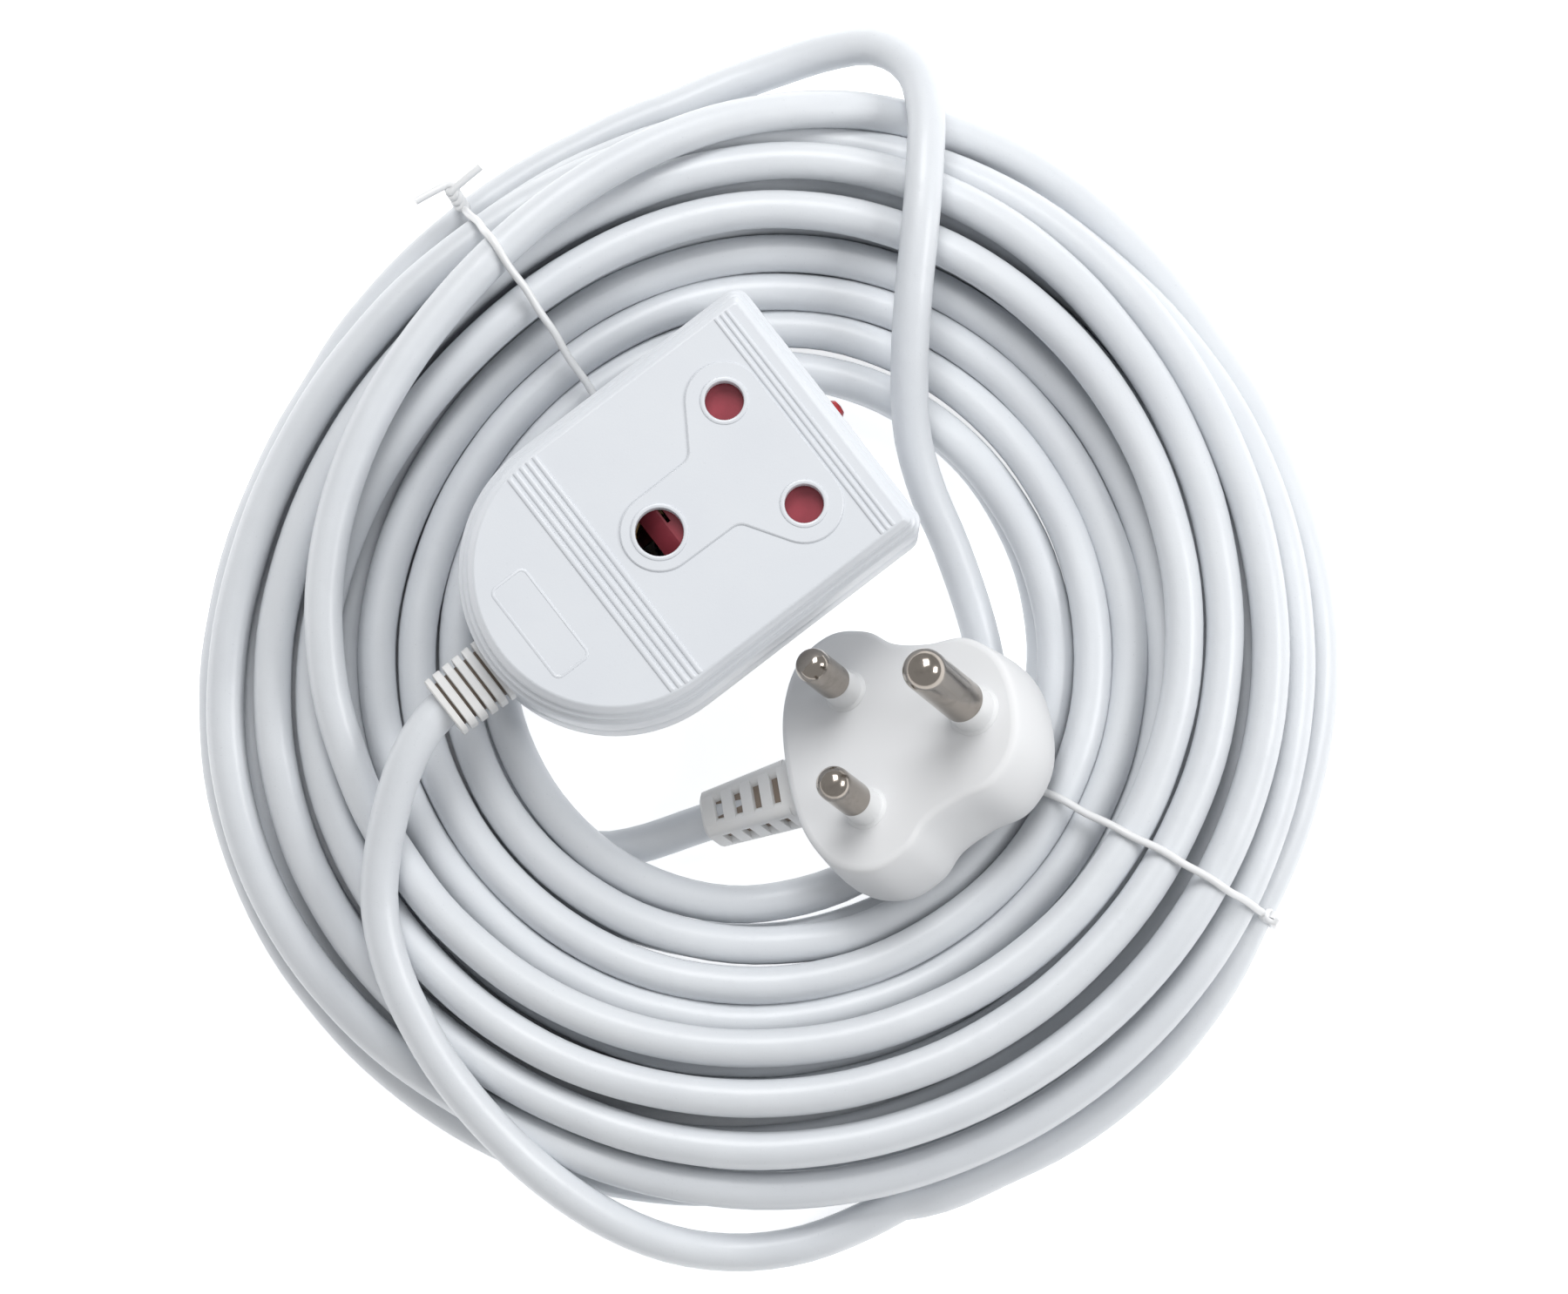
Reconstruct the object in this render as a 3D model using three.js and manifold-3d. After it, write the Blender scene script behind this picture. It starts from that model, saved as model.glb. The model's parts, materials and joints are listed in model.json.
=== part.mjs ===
// A trailing extension lead: a coiled white flex with a moulded three-pin plug on one end
// and a double-sided socket coupler with sprung red shutters on the other.
// Millimetres, +Z up. The origin is on the floor, under the middle of the coil's front band.
import * as THREE from 'three';
import { mergeVertices } from 'three/addons/utils/BufferGeometryUtils.js';
import Module from 'manifold-3d';

const wasm = await Module();
wasm.setup();

// ---------------------------------------------------------------- driving dimensions

const GAP = 0.3; // clearance between pieces that touch

const CORD_D = 7.6;
const COIL_INNER = 50;
const COIL_OUTER = 114;
const COIL_HEIGHT = 20.8;
const COIL_MEAN = (COIL_INNER + COIL_OUTER) / 2;
const COIL_HALF = (COIL_OUTER - COIL_INNER) / 2;

const PIN_SPACING = 25.4; // live to neutral
const EARTH_OFFSET = 25.6; // earth to the line through live and neutral
const PIN_D = 7.05;
const PIN_LENGTH = 18.6;
const EARTH_D = 8.7;
const EARTH_LENGTH = 28.6;
const SLEEVE_LENGTH = 6;

const COUPLER_LENGTH = 84;
const COUPLER_WIDTH = 60;
const COUPLER_THICKNESS = 34;
const COUPLER_TURN = 37.6; // degrees from +X to the coupler's long axis
const COUPLER_CENTRE = [-19.8, 17.9]; // from the coil's centre
const COUPLER_BASE = 18.6; // its underside above the floor
const WALL = 2.4;
const FAR_CHAMFER = 4;
const EARTH_X = -0.4;
const LIVE_X = EARTH_X + EARTH_OFFSET;
const SHUTTER_TRAVEL = 8;

const PLUG_DEPTH = 22;
const PLUG_FACE = [18.0, -22.4, 29.1]; // the point midway between live and neutral
const PLUG_X = [0.900, 0.265, 0.345]; // towards the earth pin
const PLUG_Z = [-0.406, 0.228, 0.884]; // the way the pins point

const TIE_D = 1.6;
const TIE_ANGLES = { wire_tie_upper: 124.5, wire_tie_lower: -28.5 };

// the open stretches of the cord, from the coil's centre, each a list chosen by hand
const COUPLER_LEAD = [
  [-63.2, -15.5, 35.6], [-66.6, -19.4, 35.3], [-69.8, -25.2, 34.2], [-72.6, -33.2, 31.9],
  [-74.8, -43.2, 29.0], [-75.4, -53.4, 26.8], [-73.2, -64.4, 25.2], [-68.8, -74.6, 23.8],
  [-62.4, -85.4, 21.4], [-53.5, -96.2, 17.6], [-42.9, -106.0, 13.0], [-30.8, -113.8, 8.8],
  [-18.2, -118.6, 5.8], [-4.7, -120.8, 4.3], [7.5, -120.6, 3.9], [17.6, -118.6, 3.9],
  [27.0, -115.4, 3.9],
];
const CROSSING_LOOP = [
  [-20.6, 116.5, 3.9], [-8.0, 118.6, 4.2], [3.0, 120.8, 5.6], [13.0, 122.0, 8.6],
  [22.5, 120.8, 13.0], [29.6, 115.4, 18.0], [32.2, 106.0, 22.4], [32.0, 95.0, 24.9],
  [31.0, 82.0, 25.6], [29.6, 68.0, 24.8], [28.9, 55.0, 22.0], [29.4, 42.0, 18.2],
  [32.4, 31.0, 14.6], [37.4, 20.0, 10.4], [41.8, 8.0, 6.4], [44.4, -2.0, 4.3],
  [45.2, -10.0, 3.9],
];
const PLUG_LEAD = [[-11.2, -34.9, 6.5], [-14.8, -36.0, 5.1], [-18.6, -37.3, 4.1], [-22.4, -38.6, 3.9]];

// ---------------------------------------------------------------- finishes

const finish = (color, roughness, metalness = 0) =>
  new THREE.MeshStandardMaterial({ color, roughness, metalness });
const FLEX = finish(0xe9ebee, 0.45);
const SHELL = finish(0xf0f1f4, 0.4);
const PLUG_PVC = finish(0xdfe1e4, 0.5);
const RELIEF = finish(0xe6e7e4, 0.55);
const SHUTTER_RED = finish(0x9c3a44, 0.4);
const LENS_RED = finish(0xc22a33, 0.15);
const BRASS = finish(0xb08d57, 0.35, 1);
const NICKEL = finish(0xb9b4ac, 0.2, 1);
const STEEL = finish(0xa8a9ab, 0.35, 1);
const CARRIER_BLACK = finish(0x2b2b2d, 0.6);
const SLEEVE_WHITE = finish(0xeeeeee, 0.5);
const TIE_WHITE = finish(0xf4f4f4, 0.4);
const GLASS = finish(0xd8b8a8, 0.1);
const CORE_COLOURS = {
  live: finish(0x6b3f22, 0.5), neutral: finish(0x2b4f9c, 0.5), earth: finish(0x7a9a2c, 0.5),
};

// ---------------------------------------------------------------- solids

function solid(geometry) {
  const bare = geometry.clone();
  bare.deleteAttribute('normal');
  bare.deleteAttribute('uv');
  const merged = mergeVertices(bare, 1e-4);
  return new wasm.Manifold(new wasm.Mesh({
    numProp: 3,
    vertProperties: new Float32Array(merged.attributes.position.array),
    triVerts: new Uint32Array(merged.index.array),
  }));
}

function geometryOf(body) {
  const mesh = body.getMesh();
  const geometry = new THREE.BufferGeometry();
  geometry.setAttribute('position', new THREE.BufferAttribute(mesh.vertProperties, 3));
  geometry.setIndex(new THREE.BufferAttribute(mesh.triVerts, 1));
  const flat = geometry.toNonIndexed();
  flat.computeVertexNormals();
  return flat;
}

const joined = (...bodies) => bodies.reduce((a, b) => a.add(b));
const cut = (body, ...tools) => tools.reduce((a, b) => a.subtract(b), body);

function box(x0, x1, y0, y1, z0, z1) {
  const g = new THREE.BoxGeometry(x1 - x0, y1 - y0, z1 - z0);
  return solid(g.translate((x0 + x1) / 2, (y0 + y1) / 2, (z0 + z1) / 2));
}

function post(radius, x, y, z0, z1, sides = 16) {
  const g = new THREE.CylinderGeometry(radius, radius, z1 - z0, sides);
  return solid(g.rotateX(Math.PI / 2).translate(x, y, (z0 + z1) / 2));
}

function rod(radius, x0, x1, y, z, sides = 16) {
  const g = new THREE.CylinderGeometry(radius, radius, x1 - x0, sides);
  return solid(g.rotateZ(Math.PI / 2).translate((x0 + x1) / 2, y, z));
}

function slab(shape, z0, z1, curveSegments = 8) {
  const g = new THREE.ExtrudeGeometry(shape, { depth: z1 - z0, bevelEnabled: false, curveSegments });
  return solid(g.translate(0, 0, z0));
}

// A profile in X and Z, pushed from y0 to y1.
function ridge(points, y0, y1) {
  const shape = new THREE.Shape(points.map(([x, z]) => new THREE.Vector2(x, z)));
  const g = new THREE.ExtrudeGeometry(shape, { depth: y1 - y0, bevelEnabled: false });
  return solid(g.rotateX(Math.PI / 2).translate(0, y1, 0));
}

function turned(profile, segments) {
  const points = profile.map(([r, z]) => new THREE.Vector2(r, z));
  return new THREE.LatheGeometry(points, segments).rotateX(Math.PI / 2);
}

function tube(points, diameter, sides, steps, closed = false) {
  const curve = new THREE.CatmullRomCurve3(
    points.map((p) => new THREE.Vector3(...p)), closed, 'centripetal');
  const section = new THREE.Shape();
  section.absarc(0, 0, diameter / 2, 0, 2 * Math.PI, false);
  return new THREE.ExtrudeGeometry(section, {
    extrudePath: curve, steps, curveSegments: sides / 2, bevelEnabled: false,
  });
}

// The same piece on the other face: turned half a turn about the line midway between the pins.
function otherFace(body) {
  const flip = new THREE.Matrix4().makeRotationY(Math.PI);
  flip.setPosition(EARTH_X + LIVE_X, 0, 0);
  return solid(geometryOf(body).applyMatrix4(flip));
}

function named(name, shape, material) {
  const geometry = shape.isBufferGeometry ? shape : geometryOf(shape);
  const mesh = new THREE.Mesh(geometry, material);
  mesh.name = name;
  return mesh;
}

// ---------------------------------------------------------------- coupler

const HALF_T = COUPLER_THICKNESS / 2;
const HALF_W = COUPLER_WIDTH / 2;
const FAR_X = COUPLER_LENGTH / 2;
const ROUND_X = HALF_W - FAR_X; // centre of the rounded cord end
const FLOOR_Z = HALF_T - WALL; // underside of a cover's face
const HALF_SPACING = PIN_SPACING / 2;

const SHUTTER_TOP = FLOOR_Z - 0.6;
const SHUTTER_THICK = 1.6;
const RAMP_LOW = 10.4;
const SHUTTER_TIP = -1.9;
const SPRING_D = 4;
const SPRING_Z = 12.2;
const SPRING_START = 16.3;
const SPRING_END = 37.2;
const SLEEVE_TOP = 9.4;
const STRAP_HALF = 0.6;
const CARRIER = { x0: -7, x1: 32, y: 19.5, z: 8.5 };
const SCREWS = [[35.2, 23.4], [35.2, -23.4], [-24, 17.5], [-24, -17.5]];
const BOSS_R = 3.4;

const RELIEF_OUT = 12; // how far the strain relief stands out of the coupler
const RELIEF_IN = 10;

function couplerOutline(inset) {
  const half = HALF_W - inset;
  const far = FAR_X - inset;
  const chamfer = FAR_CHAMFER - inset * (2 - Math.SQRT2);
  const s = new THREE.Shape();
  s.moveTo(ROUND_X, -half);
  s.lineTo(far - chamfer, -half);
  s.lineTo(far, -half + chamfer);
  s.lineTo(far, half - chamfer);
  s.lineTo(far - chamfer, half);
  s.lineTo(ROUND_X, half);
  s.absarc(ROUND_X, 0, half, Math.PI / 2, 1.5 * Math.PI, false);
  return s;
}

// One cover without its pin holes: a stepped shell, its open side on the parting line.
function coverShell() {
  const steps = [[0, GAP / 2, 12.4], [0.9, 12.3, 14.2], [1.9, 14.1, 15.8], [3, 15.7, HALF_T]];
  const outside = joined(...steps.map(([inset, z0, z1]) => slab(couplerOutline(inset), z0, z1)));
  const inside = joined(
    slab(couplerOutline(WALL), -1, 11.8),
    slab(couplerOutline(WALL + 1.8), 11.7, FLOOR_Z));
  const bosses = SCREWS.map(([x, y]) => post(BOSS_R, x, y, GAP / 2, FLOOR_Z + 0.1));
  const cordEntry = box(-FAR_X - 1, -FAR_X + RELIEF_IN, -7, 7, -1, 5.9);
  const lensHole = rod(2.6, FAR_X - 5, FAR_X + 1, 0, 0);
  return cut(joined(cut(outside, inside), ...bosses), cordEntry, lensHole);
}

function pinHoles() {
  const hole = (d, x, y) => post(d / 2, x, y, FLOOR_Z - 1, HALF_T + 1, 20);
  return [hole(7.6, LIVE_X, HALF_SPACING), hole(7.6, LIVE_X, -HALF_SPACING), hole(9.4, EARTH_X, 0)];
}

function frontCover() {
  const pilots = SCREWS.map(([x, y]) => post(1.8, x, y, -1, 10.5, 12));
  return cut(coverShell(), ...pinHoles(), ...pilots);
}

function backCover() {
  const holes = SCREWS.flatMap(([x, y]) => [
    post(1.8, x, y, -HALF_T - 1, 1, 12),
    post(3.3, x, y, -HALF_T - 1, -HALF_T + 3, 16),
  ]);
  const shell = solid(geometryOf(coverShell()).rotateX(Math.PI));
  const flipped = EARTH_X + LIVE_X;
  const springSeat = box(flipped - FAR_X + 2.0, flipped - FAR_X + 3.8, -3, 3, -FLOOR_Z - 0.1, -9.8);
  return cut(joined(shell, springSeat), ...pinHoles().map(otherFace), ...holes);
}

// A sprung shutter: a bar over live and neutral, and a tongue with a ramp under the earth hole.
function shutter() {
  const low = SHUTTER_TOP - SHUTTER_THICK;
  const bar = box(21, 29.4, -17.6, 17.6, low, SHUTTER_TOP);
  const tongue = box(6, 21.2, -5.5, 5.5, low, SHUTTER_TOP);
  const slope = SHUTTER_TOP - RAMP_LOW;
  const ramp = ridge([
    [SHUTTER_TIP, RAMP_LOW], [8, RAMP_LOW], [8, SHUTTER_TOP], [SHUTTER_TIP + slope, SHUTTER_TOP],
  ], -5.5, 5.5);
  const springSlot = box(SPRING_START - GAP, 30, -2.7, 2.7, RAMP_LOW - 1, SHUTTER_TOP + 1);
  const slit = box(2.1, 2.9, 0.8, 6, RAMP_LOW - 1, SHUTTER_TOP + 1);
  return cut(joined(bar, tongue, ramp), springSlot, slit);
}

function shutterSpring() {
  const turns = 7;
  const stepsPerTurn = 7;
  const wire = 0.6;
  const coilR = (SPRING_D - wire) / 2;
  const points = [];
  for (let i = 0; i <= turns * stepsPerTurn; i += 1) {
    const t = i / (turns * stepsPerTurn);
    const angle = 2 * Math.PI * turns * t;
    const x = SPRING_START + wire / 2 + t * (SPRING_END - SPRING_START - wire);
    points.push([x, coilR * Math.cos(angle), SPRING_Z + coilR * Math.sin(angle)]);
  }
  return solid(tube(points, wire, 4, turns * stepsPerTurn));
}

const CONTACTS = {
  live: { y: HALF_SPACING, front: LIVE_X, back: EARTH_X, bore: 7.6, wall: 0.8 },
  neutral: { y: -HALF_SPACING, front: LIVE_X, back: EARTH_X, bore: 7.6, wall: 0.8 },
  earth: { y: 0, front: EARTH_X, back: LIVE_X, bore: 9.4, wall: 0.8 },
};

function contactCarrier() {
  const block = box(CARRIER.x0, CARRIER.x1, -CARRIER.y, CARRIER.y, -CARRIER.z, CARRIER.z);
  const tools = [];
  for (const c of Object.values(CONTACTS)) {
    const pocket = c.bore / 2 + c.wall + GAP;
    for (const x of [c.front, c.back]) tools.push(post(pocket, x, c.y, -10, 10, 16));
    tools.push(box(CARRIER.x0 - 1, LIVE_X, c.y - 3.1, c.y + 3.1, -STRAP_HALF - GAP, STRAP_HALF + GAP));
  }
  const rail = (y) => box(4, 19.5, y - 0.7, y + 0.7, CARRIER.z - 0.1, SHUTTER_TOP - 0.2);
  const rails = [rail(6.6), rail(-6.6)];
  return joined(cut(block, ...tools), ...rails, ...rails.map(otherFace));
}

// A split spring tube that grips a pin; up is +1 on the front face and -1 on the back.
function gripSleeve(c, x, up) {
  const z0 = STRAP_HALF + GAP;
  const tubeOut = post(c.bore / 2 + c.wall, x, c.y, z0, SLEEVE_TOP, 16);
  const bore = post(c.bore / 2, x, c.y, z0 - 1, SLEEVE_TOP + 1, 16);
  const split = box(x + 1, x + 8, c.y - 0.5, c.y + 0.5, z0 + 2, SLEEVE_TOP + 1);
  const sleeve = cut(tubeOut, bore, split);
  return up > 0 ? sleeve : sleeve.mirror([0, 0, 1]);
}

// A flat bar from the terminal to both grip sleeves, with a clamp block at its cord end.
function contactBar(c) {
  const bar = box(-16, LIVE_X + 2, c.y - 2.8, c.y + 2.8, -STRAP_HALF, STRAP_HALF);
  const pads = [c.front, c.back].map((x) => post(c.bore / 2 + c.wall, x, c.y, -STRAP_HALF, STRAP_HALF, 16));
  const block = box(-17, -9.5, c.y - 3.4, c.y + 3.4, -3.2, 3.4);
  const holes = [c.front, c.back].map((x) => post(c.bore / 2, x, c.y, -2, 2, 16));
  const screwHole = post(1.7, -12.2, c.y, 0.6, 5, 12);
  const coreHole = rod(1.6, -18, -10.5, c.y, -1.3, 10);
  return cut(joined(bar, ...pads, block), ...holes, screwHole, coreHole);
}

function headedScrew(headR, headZ0, headZ1, shaftR, shaftEnd, x, y) {
  const middle = (headZ0 + headZ1) / 2;
  const head = post(headR, x, y, Math.min(headZ0, headZ1), Math.max(headZ0, headZ1), 16);
  const shaft = post(shaftR, x, y, Math.min(shaftEnd, middle), Math.max(shaftEnd, middle), 12);
  return joined(head, shaft);
}

function coverScrew(x, y) {
  const slot = box(x - 2.4, x + 2.4, y - 0.4, y + 0.4, -HALF_T, -HALF_T + 1.4);
  return cut(headedScrew(3, -HALF_T + 2.7, -HALF_T + 0.5, 1.5, 9, x, y), slot);
}

function terminalScrew(y) {
  return headedScrew(2.2, 3.8, 5.4, 1.3, 1, -12.2, y);
}

const CLAMP_X = [-35.5, -30.5];

function cordClamp() {
  const bar = box(...CLAMP_X, -11.5, 11.5, 1.6, 6.2);
  const groove = rod(CORD_D / 2 + GAP, -40, -25, 0, 0, 20);
  const holes = [8.6, -8.6].map((y) => post(1.8, -33, y, -7, 8, 12));
  return cut(bar, groove, ...holes);
}

function clampScrew(y) {
  return headedScrew(2.6, 6.6, 8.4, 1.4, -4, -33, y);
}

// The flat ribbed sleeve that the cord leaves through, tapered, cut into slats.
function couplerRelief() {
  const outer = -FAR_X - RELIEF_OUT;
  const inner = -FAR_X + RELIEF_IN - 4;
  const plan = new THREE.Shape([
    [inner, -6.6], [inner, 6.6], [-FAR_X, 6.6], [outer, 6.1], [outer, -6.1], [-FAR_X, -6.6],
  ].map(([x, y]) => new THREE.Vector2(x, y)));
  const body = slab(plan, -5.5, 5.5);
  const bore = rod(CORD_D / 2 + GAP, outer - 1, inner + 1, 0, 0, 16);
  const slots = [];
  for (let i = 0; i < 5; i += 1) {
    const x = -FAR_X - 0.9 - i * 2.35;
    slots.push(box(x - 0.9, x, -7, 5.4, 4.1, 6), box(x - 0.9, x, -5.4, 7, -6, -4.1));
  }
  return cut(body, bore, ...slots);
}

// The cord's sheath inside the coupler, and the three cores that fan out to the terminals.
const SHEATH_END = -27;

function core(y) {
  const start = y === 0 ? [0, -1.6] : [1.6 * Math.sign(y), 1.1];
  return solid(tube([
    [SHEATH_END + GAP, start[0], start[1]], [-24, start[0] * 1.4, start[1]],
    [-21, y * 0.75, -0.6], [-18.4, y, -1.3], [-12.2, y, -1.3],
  ], 2.4, 6, 9));
}

function indicatorLens() {
  const profile = [[0, 38.2], [3.2, 38.2], [3.2, 39.3], [2.2, 39.3], [2.2, 42.9], [1.5, 43.8], [0, 44.1]];
  return solid(turned(profile, 14).rotateY(Math.PI / 2));
}

function neonLamp() {
  return solid(turned([[0, 32.8], [1.4, 33.1], [1.8, 34], [1.8, 37], [0, 37.8]], 12)
    .rotateY(Math.PI / 2));
}

function coupler() {
  const group = new THREE.Group();
  const add = (name, shape, material) => group.add(named(name, shape, material));
  add('front_cover', frontCover(), SHELL);
  add('back_cover', backCover(), SHELL);
  add('front_shutter', shutter(), SHUTTER_RED);
  add('back_shutter', otherFace(shutter()), SHUTTER_RED);
  add('front_shutter_spring', shutterSpring(), STEEL);
  add('back_shutter_spring', otherFace(shutterSpring()), STEEL);
  add('contact_carrier', contactCarrier(), CARRIER_BLACK);
  for (const [pole, c] of Object.entries(CONTACTS)) {
    add(`${pole}_contact_bar`, contactBar(c), BRASS);
    add(`${pole}_front_grip`, gripSleeve(c, c.front, 1), BRASS);
    add(`${pole}_back_grip`, gripSleeve(c, c.back, -1), BRASS);
    add(`${pole}_terminal_screw`, terminalScrew(c.y), STEEL);
    add(`${pole}_core`, core(c.y), CORE_COLOURS[pole]);
  }
  SCREWS.forEach(([x, y], i) => add(`cover_screw_${i + 1}`, coverScrew(x, y), STEEL));
  add('cord_clamp', cordClamp(), CARRIER_BLACK);
  add('clamp_screw_1', clampScrew(8.6), STEEL);
  add('clamp_screw_2', clampScrew(-8.6), STEEL);
  add('indicator_lens', indicatorLens(), LENS_RED);
  add('indicator_lamp', neonLamp(), GLASS);
  add('coupler_strain_relief', couplerRelief(), RELIEF);
  add('coupler_cord_tail', rod(CORD_D / 2, -FAR_X - RELIEF_OUT, SHEATH_END, 0, 0, 12), FLEX);
  group.rotation.z = THREE.MathUtils.degToRad(COUPLER_TURN);
  group.position.set(...COUPLER_CENTRE, COUPLER_BASE + HALF_T);
  return group;
}

// ---------------------------------------------------------------- plug

// Half of the face's outline, from the earth lobe round to the cord side; the rest mirrors it.
const PLUG_OUTLINE = [
  [34.4, 0], [32.6, 9.4], [26.5, 15.8], [18.5, 17.2], [11.5, 19.6], [6.5, 23.8], [-1, 25.8],
  [-8.5, 22.6], [-13, 15.6], [-15, 6.5],
];
const PLUG_LEVELS = [ // depth below the face, and growth of the outline in mm
  [0, -1.2], [1.2, 0], [12, 1.2], [18, 1.0], [21, -0.6], [PLUG_DEPTH, -2.6],
];
const PLUG_RELIEF_OUT = 23;

function plugRing() {
  const mirrored = PLUG_OUTLINE.slice(1).reverse().map(([x, y]) => [x, -y]);
  const points = [...PLUG_OUTLINE, ...mirrored].map(([x, y]) => new THREE.Vector3(x, y, 0));
  return new THREE.CatmullRomCurve3(points, true, 'centripetal').getPoints(32).slice(0, 32);
}

function plugShell() {
  const ring = plugRing();
  const centre = new THREE.Vector3(8, 0, 0);
  const n = ring.length;
  const positions = [];
  for (const [depth, growth] of PLUG_LEVELS) {
    for (const p of ring) {
      const out = p.clone().sub(centre).setLength(growth).add(p);
      positions.push(out.x, out.y, -depth);
    }
  }
  const index = [];
  for (let level = 0; level + 1 < PLUG_LEVELS.length; level += 1) {
    for (let i = 0; i < n; i += 1) {
      const a = level * n + i;
      const b = level * n + ((i + 1) % n);
      index.push(a, a + n, b, b, a + n, b + n);
    }
  }
  const contour = ring.map((p) => new THREE.Vector2(p.x, p.y));
  const lid = THREE.ShapeUtils.triangulateShape(contour, []);
  const last = (PLUG_LEVELS.length - 1) * n;
  for (const [a, b, c] of lid) {
    index.push(a, b, c);
    index.push(last + c, last + b, last + a);
  }
  const g = new THREE.BufferGeometry();
  g.setAttribute('position', new THREE.Float32BufferAttribute(positions, 3));
  g.setIndex(index);
  return solid(g);
}

const PLUG_PINS = {
  live: { x: 0, y: HALF_SPACING, d: PIN_D, length: PIN_LENGTH },
  neutral: { x: 0, y: -HALF_SPACING, d: PIN_D, length: PIN_LENGTH },
  earth: { x: EARTH_OFFSET, y: 0, d: EARTH_D, length: EARTH_LENGTH },
};
const PIN_ROOT = -12;
const SLEEVE_ROOT = -3;
const BRIDGE = { low: -8.6, high: -5.6 };

const stemRadius = (pin) => pin.d / 2 - 0.9;

function plugPin(pin) {
  const r = pin.d / 2;
  const stem = stemRadius(pin);
  const dome = [20, 45, 70].map((a) => {
    const t = THREE.MathUtils.degToRad(a);
    return [r * Math.cos(t), pin.length - r * 0.8 * (1 - Math.sin(t))];
  });
  const profile = [
    [0, PIN_ROOT], [stem, PIN_ROOT], [stem, SLEEVE_LENGTH], [r, SLEEVE_LENGTH],
    [r, pin.length - r * 0.8], ...dome, [0, pin.length],
  ];
  return solid(turned(profile, 16).translate(pin.x, pin.y, 0));
}

function pinSleeve(pin) {
  const outer = post(pin.d / 2, pin.x, pin.y, SLEEVE_ROOT, SLEEVE_LENGTH - GAP, 16);
  return cut(outer, post(stemRadius(pin) + GAP, pin.x, pin.y, -10, 10, 16));
}

function pinBridge(clearance) {
  const arm = (x0, x1, y0, y1) => box(
    x0 - clearance, x1 + clearance, y0 - clearance, y1 + clearance,
    BRIDGE.low - clearance, BRIDGE.high + clearance);
  return joined(arm(-4, 4, -17, 17), arm(3.5, 30, -4, 4));
}

function plugReliefShape(clearance) {
  const half = (w) => w + clearance;
  const inner = 6 + clearance;
  const shape = new THREE.Shape([
    [inner, -half(6.4)], [inner, half(6.4)], [0, half(6.4)], [-PLUG_RELIEF_OUT, half(4.9)],
    [-PLUG_RELIEF_OUT, -half(4.9)], [0, -half(6.4)],
  ].map(([x, y]) => new THREE.Vector2(x, y)));
  return slab(shape, -half(5.2), half(5.2));
}

const atPlugRelief = (body) => body.translate([-14, 0, -11]);

function plugRelief() {
  const bore = rod(CORD_D / 2 + GAP, -PLUG_RELIEF_OUT - 1, 7.5, 0, 0, 16);
  const slots = [];
  for (let i = 0; i < 4; i += 1) {
    const x = -5.5 - i * 4.2;
    slots.push(box(x - 1.6, x, 4.3, 8, -3.4, 3.4), box(x - 1.6, x, -8, -4.3, -3.4, 3.4));
    slots.push(box(x - 3.4, x - 2.0, -3.2, 3.2, 4.3, 8));
  }
  return atPlugRelief(cut(plugReliefShape(0), bore, ...slots));
}

function plugBody() {
  const bores = Object.values(PLUG_PINS).flatMap((pin) => [
    post(pin.d / 2 + GAP, pin.x, pin.y, SLEEVE_ROOT - GAP, 1, 16),
    post(stemRadius(pin) + GAP, pin.x, pin.y, PIN_ROOT - GAP, 1, 16),
  ]);
  return cut(plugShell(), ...bores, pinBridge(GAP), atPlugRelief(plugReliefShape(GAP)));
}

function bridgePiece() {
  const holes = Object.values(PLUG_PINS).map((pin) =>
    post(stemRadius(pin) + GAP, pin.x, pin.y, -12, 0, 16));
  return cut(pinBridge(0), ...holes);
}

function plug() {
  const group = new THREE.Group();
  const add = (name, shape, material) => group.add(named(name, shape, material));
  add('plug_body', plugBody(), PLUG_PVC);
  add('plug_pin_bridge', bridgePiece(), SLEEVE_WHITE);
  for (const [pole, pin] of Object.entries(PLUG_PINS)) {
    add(`plug_${pole}_pin`, plugPin(pin), NICKEL);
    add(`plug_${pole}_pin_sleeve`, pinSleeve(pin), SLEEVE_WHITE);
  }
  add('plug_strain_relief', plugRelief(), RELIEF);
  const tail = rod(CORD_D / 2, -PLUG_RELIEF_OUT, 6, 0, 0, 12);
  add('plug_cord_tail', atPlugRelief(tail), FLEX);
  const z = new THREE.Vector3(...PLUG_Z).normalize();
  const y = new THREE.Vector3().crossVectors(z, new THREE.Vector3(...PLUG_X)).normalize();
  const x = new THREE.Vector3().crossVectors(y, z);
  group.quaternion.setFromRotationMatrix(new THREE.Matrix4().makeBasis(x, y, z));
  group.position.set(...PLUG_FACE);
  return group;
}

// ---------------------------------------------------------------- cord, coil and ties

// Height of the coil's domed top at a distance from its centre.
function coilTop(radius) {
  const off = (radius - COIL_MEAN) / COIL_HALF;
  return COIL_HEIGHT * Math.sqrt(Math.max(0, 1 - off * off));
}

function coilProfile(grow) {
  const points = [];
  for (let i = 0; i <= 10; i += 1) {
    const angle = Math.PI * (i / 10);
    const radius = COIL_MEAN + (COIL_HALF + grow) * Math.cos(angle);
    points.push([radius, (COIL_HEIGHT + grow) * Math.sin(angle) ** 0.8]);
  }
  return points;
}

function cordCoil() {
  const dome = coilProfile(0).map(([r, z]) => [r, Math.max(z, 0)]);
  const ring = solid(turned([...dome, dome[0]], 48));
  const grooves = Object.values(TIE_ANGLES).map((angle) => {
    const groove = new THREE.BoxGeometry(2 * COIL_HALF + 4, TIE_D + 2 * GAP, 2 * (TIE_D + GAP));
    return solid(groove.translate(COIL_MEAN, 0, 0).rotateZ(THREE.MathUtils.degToRad(angle)));
  });
  return cut(ring, ...grooves);
}

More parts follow.
